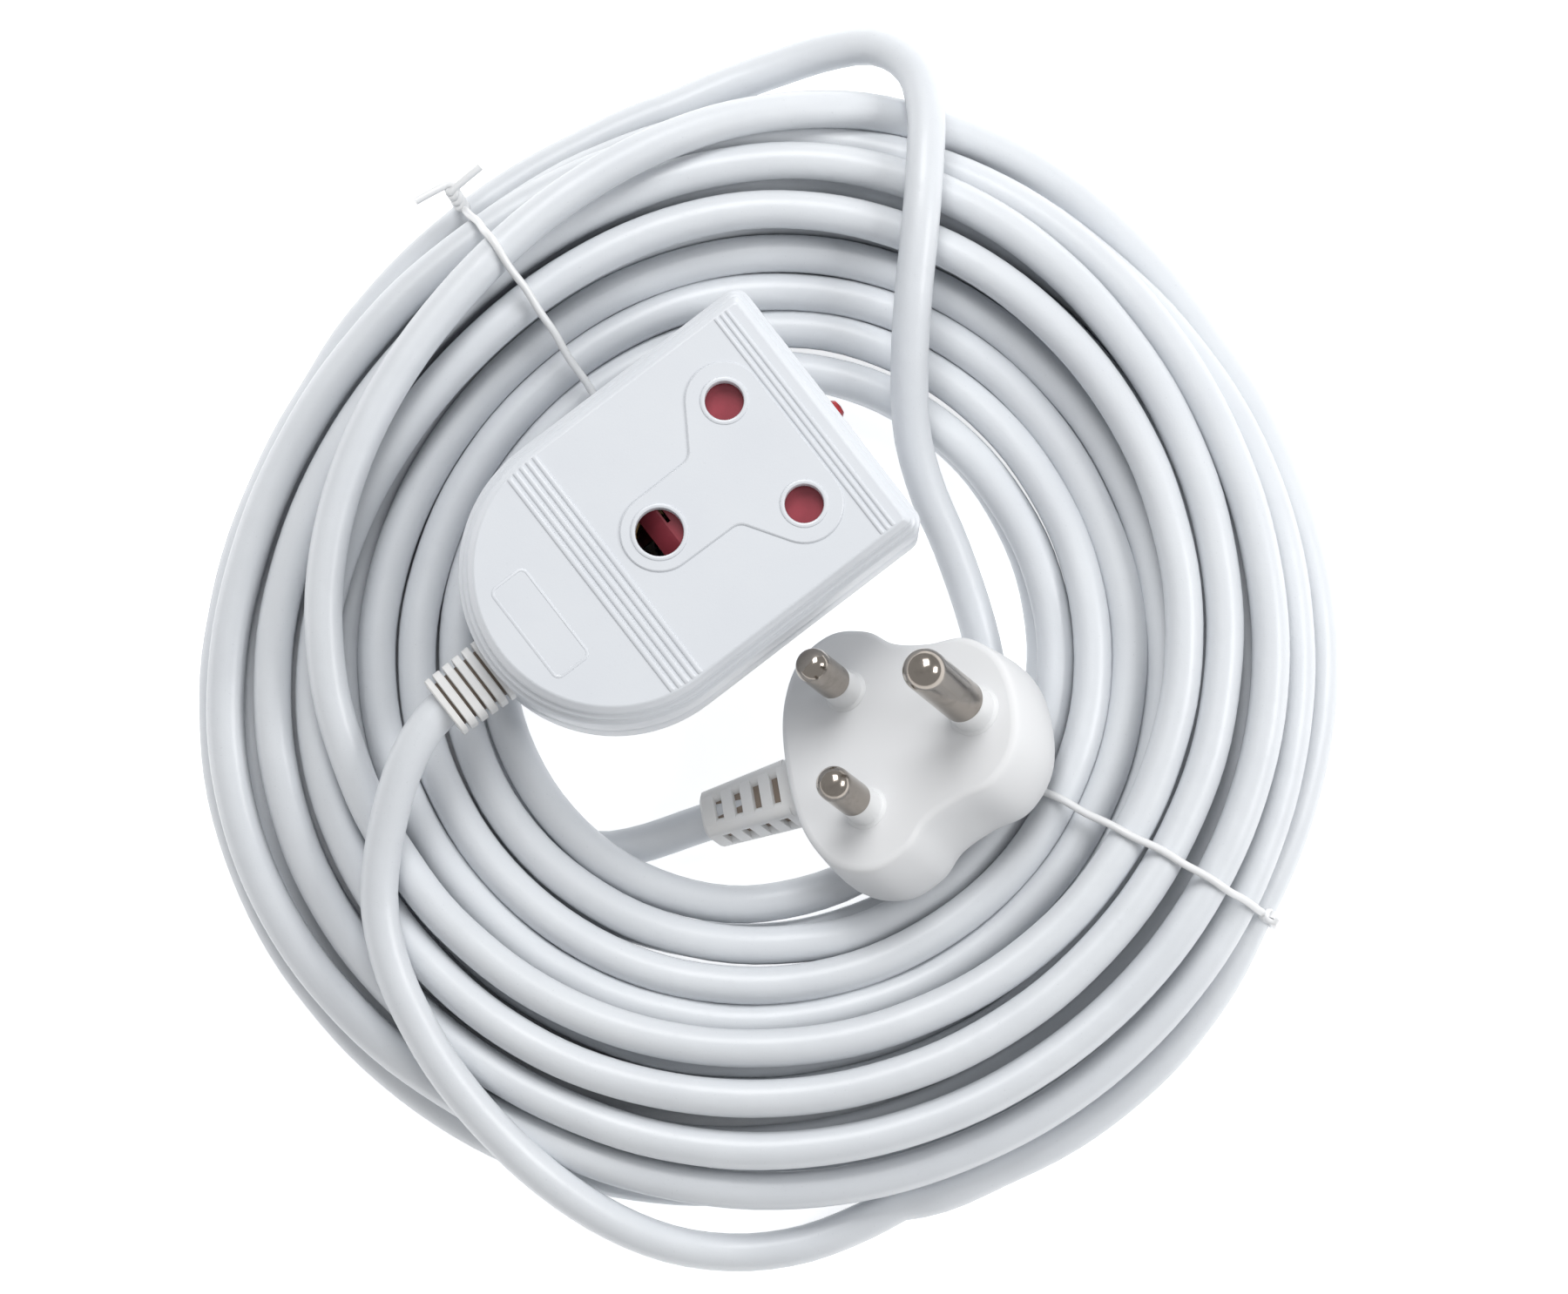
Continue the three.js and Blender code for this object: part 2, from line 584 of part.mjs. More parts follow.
// A plastic-covered wire once round the coil's section, its ends twisted together outside.
function wireTie(angle) {
  const clear = TIE_D / 2 + GAP;
  const low = TIE_D / 2 + 0.1;
  const over = coilProfile(clear + 0.6).slice(1, -1).map(([r, z]) => [r, 0, z]);
  const out = COIL_OUTER + clear + 1;
  const inn = COIL_INNER - clear - 1;
  const under = [0.9, 0.5, 0.1].map((t) => [inn + (out - inn) * (1 - t), 0, low]);
  const loop = [
    [out + 1.4, 1.9, 3.6], ...over, [inn, 0, low + 0.8], ...under, [out, 0, low],
    [out + 2.2, -0.3, 2.6], [out + 2.8, -0.9, 5.6], [out + 3.0, -1.0, 9.0],
  ];
  return tube(loop, TIE_D, 6, 34).rotateZ(THREE.MathUtils.degToRad(angle));
}

function cordAndTies() {
  const group = new THREE.Group();
  group.add(named('cord_coil', cordCoil(), FLEX));
  group.add(named('coupler_lead', tube(COUPLER_LEAD, CORD_D, 10, 14), FLEX));
  group.add(named('crossing_loop', tube(CROSSING_LOOP, CORD_D, 10, 15), FLEX));
  group.add(named('plug_lead', tube(PLUG_LEAD, CORD_D, 10, 3), FLEX));
  for (const [name, angle] of Object.entries(TIE_ANGLES)) {
    group.add(named(name, wireTie(angle), TIE_WHITE));
  }
  return group;
}

const extensionLead = new THREE.Group();
extensionLead.add(cordAndTies(), coupler(), plug());
extensionLead.position.y = COIL_MEAN;

export default extensionLead;
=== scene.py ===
"""A coiled white extension lead with a moulded three-pin plug and a double-sided socket coupler."""

import json
import logging
import math
from dataclasses import dataclass, field
from enum import Enum

import bmesh
import bpy
import numpy as np
from mathutils import Matrix, Vector
from mathutils.geometry import tessellate_polygon


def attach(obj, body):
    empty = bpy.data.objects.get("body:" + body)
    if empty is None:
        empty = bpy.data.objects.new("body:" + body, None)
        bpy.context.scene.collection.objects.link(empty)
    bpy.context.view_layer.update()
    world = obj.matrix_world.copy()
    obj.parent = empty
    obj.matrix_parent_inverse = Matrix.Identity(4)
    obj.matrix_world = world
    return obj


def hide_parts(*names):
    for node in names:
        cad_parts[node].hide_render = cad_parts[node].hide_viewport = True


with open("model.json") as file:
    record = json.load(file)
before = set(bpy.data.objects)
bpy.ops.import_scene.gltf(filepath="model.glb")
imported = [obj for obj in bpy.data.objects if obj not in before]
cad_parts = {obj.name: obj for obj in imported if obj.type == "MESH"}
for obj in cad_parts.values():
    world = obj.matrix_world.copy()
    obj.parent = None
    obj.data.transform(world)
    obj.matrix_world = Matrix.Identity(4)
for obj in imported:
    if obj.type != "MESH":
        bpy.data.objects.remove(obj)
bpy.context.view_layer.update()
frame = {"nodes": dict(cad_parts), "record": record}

MM = 0.001
COIL_CENTRE = np.array([0.0, 82.0, 0.0])  # mm, from the part's origin
BACK_TURN = 24.8  # mm; the back face's holes lie at this less the front holes' x
LOG = logging.getLogger("extension_lead")

Point2 = tuple[float, float]
Point3 = tuple[float, float, float]
Colour = tuple[float, float, float]


# ------------------------------------------------------------------ shader building


class Signal:
    """An output socket that takes part in Python arithmetic by adding Math nodes."""

    def __init__(self, shader: "Shader", socket: bpy.types.NodeSocket) -> None:
        """Keeps the shader and the socket.

        Args:
            shader: the shader whose tree the socket is in.
            socket: the output socket that carries the value.
        """
        self.shader = shader
        self.socket = socket

    def _math(self, operation: str, *values: "Signal | float") -> "Signal":
        """Adds one Math node.

        Args:
            operation: Blender's name of the operation.
            values: the operands, in order.

        Returns:
            The node's result.
        """
        sockets = dict(enumerate(values))
        return self.shader.node("ShaderNodeMath", {"operation": operation}, sockets)

    def __add__(self, other: "Signal | float") -> "Signal":
        """Returns the sum."""
        return self._math("ADD", self, other)

    __radd__ = __add__

    def __mul__(self, other: "Signal | float") -> "Signal":
        """Returns the product."""
        return self._math("MULTIPLY", self, other)

    __rmul__ = __mul__

    def __sub__(self, other: "Signal | float") -> "Signal":
        """Returns the difference."""
        return self._math("SUBTRACT", self, other)

    def __rsub__(self, other: "Signal | float") -> "Signal":
        """Returns other less this signal."""
        return self._math("SUBTRACT", other, self)

    def __pow__(self, power: "Signal | float") -> "Signal":
        """Returns the signal raised to a power."""
        return self._math("POWER", self, power)

    def clipped(self) -> "Signal":
        """Returns the signal held between 0 and 1."""
        return self._math("MINIMUM", self._math("MAXIMUM", self, 0.0), 1.0)


class Shader:
    """A Principled material and the nodes that feed it."""

    def __init__(self, name: str) -> None:
        """Makes the material.

        Args:
            name: the material's name.
        """
        self.material = bpy.data.materials.new(name)
        self.material.use_nodes = True
        self.tree = self.material.node_tree
        self.surface = self.tree.nodes["Principled BSDF"]
        self.place = self.tree.nodes.new("ShaderNodeTexCoord").outputs["Object"]

    def node(
        self, kind: str, settings: dict[str, object], sockets: dict[object, object],
        output: int | str = 0,
    ) -> Signal:
        """Adds a node of any type.

        Args:
            kind: the node's type.
            settings: its properties; "stops" fills a ramp.
            sockets: values or signals for its inputs, by name or number.
            output: which output to return.

        Returns:
            The chosen output as a signal.
        """
        made = self.tree.nodes.new(kind)
        for key, value in settings.items():
            if key == "stops":
                self._fill_ramp(made, value)
            else:
                setattr(made, key, value)
        for key, value in sockets.items():
            self.feed(made.inputs[key], value)
        return Signal(self, made.outputs[output])

    @staticmethod
    def _fill_ramp(ramp: bpy.types.Node, stops: list[tuple[float, Colour]]) -> None:
        """Sets a ramp's stops.

        Args:
            ramp: the Color Ramp node.
            stops: positions with their colours.
        """
        elements = ramp.color_ramp.elements
        while len(elements) < len(stops):
            elements.new(0.5)
        for element, (position, colour) in zip(elements, stops):
            element.position = position
            element.color = (*colour, 1.0)

    def feed(self, socket: bpy.types.NodeSocket, value: object) -> None:
        """Sets a socket, or links a signal to it.

        Args:
            socket: the input socket.
            value: a number, a colour, a vector or a signal.
        """
        if isinstance(value, Signal):
            self.tree.links.new(value.socket, socket)
        elif isinstance(value, bpy.types.NodeSocket):
            self.tree.links.new(value, socket)
        elif isinstance(value, tuple) and socket.type == "RGBA":
            socket.default_value = (*value, 1.0)
        else:
            socket.default_value = value

    def stretched(self, scale: Point3) -> Signal:
        """Returns the object's own coordinates, stretched.

        Args:
            scale: the factor along each axis.
        """
        return self.node("ShaderNodeMapping", {}, {"Vector": self.place, "Scale": scale})

    def noise(
        self, scale: float, detail: float = 3.0, rough: float = 0.5,
        vector: Signal | None = None,
    ) -> Signal:
        """Adds a noise texture in the object's coordinates.

        Args:
            scale: how many features fit in a metre.
            detail: the number of octaves.
            rough: how strong the fine octaves are.
            vector: other coordinates to use.

        Returns:
            The noise from 0 to 1.
        """
        sockets = {"Scale": scale, "Detail": detail, "Roughness": rough}
        sockets["Vector"] = vector or self.place
        return self.node("ShaderNodeTexNoise", {}, sockets, "Fac")

    def band(self, signal: Signal, low: float, high: float) -> Signal:
        """Returns the signal stretched so that low gives 0 and high gives 1.

        Args:
            signal: the input.
            low: the value that gives 0.
            high: the value that gives 1.
        """
        return ((signal - low) * (1.0 / (high - low))).clipped()

    def mixed(self, factor: Signal, first: object, second: object) -> Signal:
        """Mixes two colours.

        Args:
            factor: 0 for the first colour, 1 for the second.
            first: a colour or a signal.
            second: a colour or a signal.

        Returns:
            The mixed colour.
        """
        made = self.tree.nodes.new("ShaderNodeMix")
        made.data_type = "RGBA"
        self.feed(made.inputs[0], factor)
        self.feed(made.inputs[6], first)
        self.feed(made.inputs[7], second)
        return Signal(self, made.outputs[2])

    def bumped(self, height: Signal, depth: float, strength: float = 1.0) -> None:
        """Feeds the surface's normal with a bump.

        Args:
            height: the height signal.
            depth: how deep a height of 1 is, in metres.
            strength: how much of the bump shows.
        """
        sockets = {"Height": height, "Distance": depth, "Strength": strength}
        self.dress(Normal=self.node("ShaderNodeBump", {}, sockets))

    def dress(self, **sockets: object) -> None:
        """Sets or links the surface's sockets, with _ in place of spaces.

        Args:
            sockets: the values by socket name.
        """
        for name, value in sockets.items():
            self.feed(self.surface.inputs[name.replace("_", " ")], value)


@dataclass(frozen=True)
class MouldedPlastic:
    """A moulded thermoplastic with faint clouding, handling marks and a fine skin."""

    name: str
    colour: Colour
    shade: Colour
    roughness: float = 0.35
    coat: float = 0.15
    grain: float = 2400.0
    grain_depth: float = 0.00001
    marks: float = 0.5
    glow: float = 0.0

    def paint(self) -> bpy.types.Material:
        """Builds the material and returns it."""
        s = Shader(self.name)
        clouds = s.band(s.noise(55.0, 4.0, 0.6), 0.35, 0.68)
        smears = s.band(s.noise(240.0, 5.0, 0.65, s.stretched((1.0, 0.35, 1.0))), 0.52, 0.75)
        specks = s.band(s.noise(1500.0, 2.0), 0.70, 0.78)
        tinted = s.mixed(clouds * 0.6 + smears * (0.3 * self.marks), self.colour, self.shade)
        dirt = tuple(c * 0.72 for c in self.shade)
        s.dress(Base_Color=s.mixed(specks * (0.35 * self.marks), tinted, dirt))
        s.dress(Roughness=(clouds * 0.06 + smears * (0.14 * self.marks) + self.roughness).clipped())
        s.dress(Coat_Weight=self.coat, Coat_Roughness=0.12, IOR=1.49)
        if self.glow:
            s.dress(Subsurface_Weight=self.glow, Subsurface_Radius=(0.004, 0.0035, 0.003))
        skin = s.noise(self.grain, 2.0) + s.noise(300.0, 2.0) * 1.5
        s.bumped(skin, self.grain_depth)
        return s.material


@dataclass(frozen=True)
class FlexSheath:
    """The cord's extruded PVC sheath: satin, a little wavy over its cores, faintly scuffed."""

    name: str
    colour: Colour
    shade: Colour
    roughness: float = 0.38

    def paint(self) -> bpy.types.Material:
        """Builds the material and returns it."""
        s = Shader(self.name)
        drift = s.band(s.noise(22.0, 3.0, 0.55), 0.35, 0.65)
        scuffs = s.band(s.noise(420.0, 6.0, 0.7), 0.58, 0.74)
        dust = s.band(s.noise(1900.0, 2.0), 0.69, 0.76)
        tinted = s.mixed(drift * 0.65 + scuffs * 0.18, self.colour, self.shade)
        s.dress(Base_Color=s.mixed(dust * 0.25, tinted, tuple(c * 0.7 for c in self.shade)))
        s.dress(Roughness=(drift * 0.07 + scuffs * 0.16 + self.roughness).clipped())
        s.dress(Coat_Weight=0.12, Coat_Roughness=0.2, IOR=1.5)
        s.dress(Subsurface_Weight=0.08, Subsurface_Radius=(0.003, 0.003, 0.003))
        waves = s.noise(130.0, 2.0) * 3.0 + s.noise(2600.0, 2.0) * 0.25 + scuffs * 0.2
        s.bumped(waves, 0.00007)
        return s.material


@dataclass(frozen=True)
class PlatedMetal:
    """A plated metal with drawn lines, small dents of light and slight tarnish; on the nickel pins the dark
    colours are painted dark reflection as well.
    """

    name: str
    colour: Colour
    tarnish_and_dark_reflection: Colour
    roughness: float = 0.16
    lines: Point3 = (1.0, 1.0, 0.06)
    wear_and_reflection: float = 0.4

    def paint(self) -> bpy.types.Material:
        """Builds the material and returns it."""
        s = Shader(self.name)
        drawn = s.noise(3000.0, 3.0, 0.6, s.stretched(self.lines))
        # this mask darkens the colour toward the second colour: tarnish, and on the nickel painted dark
        # reflection
        stain_and_reflection_mask = s.band(s.noise(180.0, 5.0, 0.6), 0.5, 0.72)
        s.dress(Base_Color=s.mixed(stain_and_reflection_mask * self.wear_and_reflection, self.colour, self.tarnish_and_dark_reflection))
        s.dress(Metallic=1.0, Roughness=(drawn * 0.12 + stain_and_reflection_mask * 0.15 + self.roughness).clipped())
        s.bumped(drawn + stain_and_reflection_mask * 0.5, 0.000006)
        return s.material


@dataclass(frozen=True)
class TintedLens:
    """A small clear coloured lens."""

    name: str
    colour: Colour

    def paint(self) -> bpy.types.Material:
        """Builds the material and returns it."""
        s = Shader(self.name)
        swirl = s.noise(500.0, 3.0)
        deep = tuple(c * 0.55 for c in self.colour)
        s.dress(Base_Color=s.mixed(s.band(swirl, 0.4, 0.65), self.colour, deep))
        s.dress(Roughness=swirl * 0.08 + 0.05, Transmission_Weight=0.35, IOR=1.49, Coat_Weight=0.6)
        s.bumped(swirl, 0.00001)
        return s.material


@dataclass(frozen=True)
class PaleFloor:
    """The plain pale floor."""

    name: str = "pale_floor"

    def paint(self) -> bpy.types.Material:
        """Builds the material and returns it."""
        s = Shader(self.name)
        mottle = s.noise(3.0, 2.0)
        s.dress(Base_Color=s.mixed(mottle, (0.90, 0.905, 0.91), (0.93, 0.93, 0.93)), Roughness=0.8)
        s.dress(Emission_Color=(1.0, 1.0, 1.0), Emission_Strength=0.56)
        return s.material


class Finish(Enum):
    """Every finish on the lead."""

    FLEX = FlexSheath("flex_sheath", (0.675, 0.70, 0.73), (0.605, 0.63, 0.665))
    SHELL = MouldedPlastic("coupler_shell", (0.66, 0.685, 0.72), (0.625, 0.65, 0.69))
    PLUG = MouldedPlastic(
        "plug_pvc", (0.395, 0.41, 0.415), (0.345, 0.36, 0.365), 0.34, 0.25, 1800.0, 0.00002,
        0.6, 0.25)
    RELIEF = MouldedPlastic("relief_pvc", (0.76, 0.765, 0.77), (0.70, 0.69, 0.67), 0.42, 0.05)
    # painted shade: this dark brown goes on the relief grooves' faces and stands in for the shade that falls
    # in them, with some dirt
    RELIEF_SHADE_AND_DIRT = MouldedPlastic("relief_shade_and_dirt", (0.26, 0.21, 0.17), (0.17, 0.13, 0.10), 0.6, 0.0)
    SHUTTER = MouldedPlastic("shutter_red", (0.235, 0.022, 0.034), (0.17, 0.014, 0.022), 0.3, 0.3)
    CARRIER = MouldedPlastic("carrier_black", (0.022, 0.022, 0.024), (0.035, 0.033, 0.03), 0.5, 0.1)
    SLEEVE = MouldedPlastic("pin_sleeve", (0.72, 0.73, 0.74), (0.66, 0.665, 0.67), 0.35, 0.1)
    TIE = MouldedPlastic("tie_coating", (0.78, 0.79, 0.80), (0.70, 0.71, 0.72), 0.3, 0.3)
    LENS = TintedLens("indicator_red", (0.60, 0.02, 0.03))
    LAMP = TintedLens("lamp_glass", (0.75, 0.55, 0.45))
    # painted reflection: the nickel's dark base colour and near-black second colour stand in for the dark
    # reflections on the pins, not the plating's own tone
    NICKEL = PlatedMetal("pin_nickel_painted_reflection", (0.37, 0.335, 0.30), (0.10, 0.085, 0.07), 0.08)
    BRASS = PlatedMetal("contact_brass", (0.62, 0.43, 0.20), (0.36, 0.22, 0.10), 0.25)
    STEEL = PlatedMetal("zinc_steel", (0.55, 0.55, 0.56), (0.40, 0.39, 0.37), 0.28)
    CORE_LIVE = MouldedPlastic("core_brown", (0.14, 0.05, 0.02), (0.10, 0.04, 0.02), 0.4)
    CORE_NEUTRAL = MouldedPlastic("core_blue", (0.03, 0.09, 0.34), (0.02, 0.06, 0.25), 0.4)
    CORE_EARTH = MouldedPlastic("core_green", (0.18, 0.34, 0.03), (0.30, 0.40, 0.03), 0.4)
    FLOOR = PaleFloor()

    def material(self) -> bpy.types.Material:
        """Returns the finish's material, built the first time."""
        return bpy.data.materials.get(self.value.name) or self.value.paint()


class Slot(Enum):
    """The record's material slots, with the finish that each one shows."""

    FLEX = ("flex", Finish.FLEX)
    TIE = ("tie", Finish.TIE)
    SHELL = ("shell", Finish.SHELL)
    SHUTTER = ("shutter_red", Finish.SHUTTER)
    STEEL = ("steel", Finish.STEEL)
    CARRIER = ("carrier", Finish.CARRIER)
    LENS = ("lens_red", Finish.LENS)
    LAMP = ("lamp_glass", Finish.LAMP)
    RELIEF = ("relief", Finish.RELIEF)
    PLUG = ("plug_pvc", Finish.PLUG)
    SLEEVE = ("sleeve", Finish.SLEEVE)
    BRASS = ("brass", Finish.BRASS)
    NICKEL = ("nickel", Finish.NICKEL)
    CORE_LIVE = ("core_live", Finish.CORE_LIVE)
    CORE_NEUTRAL = ("core_neutral", Finish.CORE_NEUTRAL)
    CORE_EARTH = ("core_earth", Finish.CORE_EARTH)

    @property
    def label(self) -> str:
        """The slot's name in the record."""
        return self.value[0]

    @property
    def finish(self) -> Finish:
        """The finish that the slot shows."""
        return self.value[1]


# ------------------------------------------------------------------ mesh building


class Skin:
    """Collects the loops and faces of one mesh, in millimetres in a local frame."""

    def __init__(self) -> None:
        """Starts an empty mesh."""
        self.points: list[Point3] = []
        self.faces: list[tuple[list[int], int, bool]] = []

    def loop(self, points: list[Point3]) -> list[int]:
        """Adds a ring of points.

        Args:
            points: the ring's points, in order.

        Returns:
            Their numbers.
        """
        first = len(self.points)
        self.points.extend(points)
        return list(range(first, len(self.points)))

    def band(self, lower: list[int], upper: list[int], finish: int = 0) -> None:
        """Joins two rings of the same count by a band of faces.

        Args:
            lower: the first ring.
            upper: the second ring.
            finish: the faces' material number.
        """
        count = len(lower)
        for i in range(count):
            j = (i + 1) % count
            self.faces.append(([lower[i], lower[j], upper[j], upper[i]], finish, True))

    def stack(self, rings: list[list[Point3]], finish: int = 0) -> tuple[list[int], list[int]]:
        """Joins several rings one after the other.

        Args:
            rings: the rings' points.
            finish: the faces' material number.

        Returns:
            The first and the last ring's numbers.
        """
        made = [self.loop(ring) for ring in rings]
        for lower, upper in zip(made, made[1:]):
            self.band(lower, upper, finish)
        return made[0], made[-1]

    def lid(self, outer: list[int], holes: tuple[list[int], ...] = (), finish: int = 0) -> None:
        """Closes a ring with flat faces, leaving holes open.

        Args:
            outer: the outer ring.
            holes: rings that stay open.
            finish: the faces' material number.
        """
        rings = [outer, *holes]
        flat = [i for ring in rings for i in ring]
        outlines = [[Vector(self.points[i]) for i in ring] for ring in rings]
        for triangle in tessellate_polygon(outlines):
            self.faces.append(([flat[i] for i in triangle], finish, False))

    def tube(self, rings: list[list[Point3]], finish: int = 0) -> None:
        """Joins rings and closes both ends.

        Args:
            rings: the rings' points.
            finish: the faces' material number.
        """
        first, last = self.stack(rings, finish)
        self.lid(first, (), finish)
        self.lid(last, (), finish)

    def build(
        self, name: str, place: Matrix, finishes: list[Finish], crease: float = 32.0,
    ) -> bpy.types.Object:
        """Makes the object.

        Args:
            name: the piece's name.
            place: the local frame in the part's frame, in metres.
            finishes: the materials, by number.
            crease: the angle in degrees above which an edge stays sharp.

        Returns:
            The object, linked to the scene.
        """
        mesh = bpy.data.meshes.new(name)
        points = [place @ (Vector(p) * MM) for p in self.points]
        mesh.from_pydata(points, [], [f for f, _, _ in self.faces])
        mesh.polygons.foreach_set("material_index", [m for _, m, _ in self.faces])
        mesh.polygons.foreach_set("use_smooth", [smooth for _, _, smooth in self.faces])
        work = bmesh.new()
        work.from_mesh(mesh)
        bmesh.ops.remove_doubles(work, verts=work.verts, dist=1e-7)
        bmesh.ops.recalc_face_normals(work, faces=work.faces)
        for edge in work.edges:
            edge.smooth = len(edge.link_faces) == 2 and edge.calc_face_angle(0) < math.radians(crease)
        work.to_mesh(mesh)
        work.free()
        for finish in finishes:
            mesh.materials.append(finish.material())
        made = bpy.data.objects.new(name, mesh)
        bpy.context.scene.collection.objects.link(made)
        return made


def ring_at(outline: list[Point2], z: float) -> list[Point3]:
    """Lifts a flat outline to a height.

    Args:
        outline: the flat points.
        z: the height.

    Returns:
        The points in space.
    """
    return [(x, y, z) for x, y in outline]


def circle(radius: float, x: float, y: float, count: int = 40) -> list[Point2]:
    """Returns a circle's points.

    Args:
        radius: the circle's radius.
        x: the centre's x.
        y: the centre's y.
        count: how many points.
    """
    turn = 2 * math.pi / count
    return [(x + radius * math.cos(i * turn), y + radius * math.sin(i * turn)) for i in range(count)]


def arc(radius: float, x: float, y: float, start: float, end: float, count: int) -> list[Point2]:
    """Returns an arc's points, both ends included.

    Args:
        radius: the arc's radius.
        x: the centre's x.
        y: the centre's y.
        start: the first angle, in degrees.
        end: the last angle, in degrees.
        count: how many steps.
    """
    angles = [math.radians(start + (end - start) * i / count) for i in range(count + 1)]
    return [(x + radius * math.cos(a), y + radius * math.sin(a)) for a in angles]


def rounded_box(width: float, height: float, corner: float, steps: int = 5) -> list[Point2]:
    """Returns a rounded rectangle's outline about the origin.

    Args:
        width: the full width.
        height: the full height.
        corner: the corners' radius.
        steps: how many steps each corner has.
    """
    w, h = width / 2 - corner, height / 2 - corner
    corners = [(w, h, 0), (-w, h, 90), (-w, -h, 180), (w, -h, 270)]
    return [p for x, y, a in corners for p in arc(corner, x, y, a, a + 90, steps)]


def turned_rings(profile: list[Point2], x: float, y: float, count: int = 48) -> list[list[Point3]]:
    """Returns the rings of a turned piece that stands along Z.

    Args:
        profile: radius and height pairs.
        x: the axis's x.
        y: the axis's y.
        count: how many points go round.
    """
    return [ring_at(circle(r, x, y, count), z) for r, z in profile]


def catmull(points: list[Point3], steps: int, closed: bool = False) -> np.ndarray:
    """Draws a smooth curve through points.

    Args:
        points: the points to pass through.
        steps: how many steps lie between two points.
        closed: whether the curve returns to its start.

    Returns:
        The curve's points.
    """
    p = np.array(points, float)
    if closed:
        p = np.vstack([p[-1], p, p[0], p[1]])
    else:
        p = np.vstack([2 * p[0] - p[1], p, 2 * p[-1] - p[-2]])
    made = []
    for i in range(1, len(p) - 2):
        a, b, c, d = p[i - 1:i + 3]
        for t in np.arange(steps) / steps:
            made.append(0.5 * (2 * b + (c - a) * t + (2 * a - 5 * b + 4 * c - d) * t ** 2
                               + (3 * b - a - 3 * c + d) * t ** 3))
    if not closed:
        made.append(p[-2])
    return np.array(made)


def settle(piece: bpy.types.Object, slot: Slot, *nodes: str) -> bpy.types.Object:
    """Puts a piece on the lead's body and names what it stands for.

    Args:
        piece: the new piece.
        slot: not used.
        nodes: the CAD nodes that it replaces.

    Returns:
        The piece.
    """
    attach(piece, "lead")
    if nodes:
        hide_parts(*nodes)
    LOG.info("%s replaces %s", piece.name, ", ".join(nodes) or "nothing")
    return piece


# ------------------------------------------------------------------ where things lie


def coupler_place() -> Matrix:
    """Returns the coupler's frame: X to its far end, Z out of its front face."""
    turn = Matrix.Rotation(math.radians(37.6), 4, "Z")
    return Matrix.Translation(Vector((-19.8, 99.9, 35.6)) * MM) @ turn


def plug_place() -> Matrix:
    """Returns the plug's frame: X to the earth pin, Y to live, Z along the pins."""
    z = Vector((-0.406, 0.228, 0.884)).normalized()
    y = z.cross(Vector((0.900, 0.265, 0.345))).normalized()
    x = y.cross(z)
    turn = Matrix((x, y, z)).transposed().to_4x4()
    return Matrix.Translation(Vector((18.0, 59.6, 29.1)) * MM) @ turn


def in_coil(place: Matrix, x: float, y: float, z: float) -> Point3:
    """Turns a point in a local frame into millimetres from the coil's centre.

    Args:
        place: the local frame.
        x: the point's x.
        y: the point's y.
        z: the point's z.

    Returns:
        The point from the coil's centre.
    """
    p = np.array(place @ (Vector((x, y, z)) * MM)) / MM - COIL_CENTRE
    return tuple(float(v) for v in p)


# ------------------------------------------------------------------ the cord


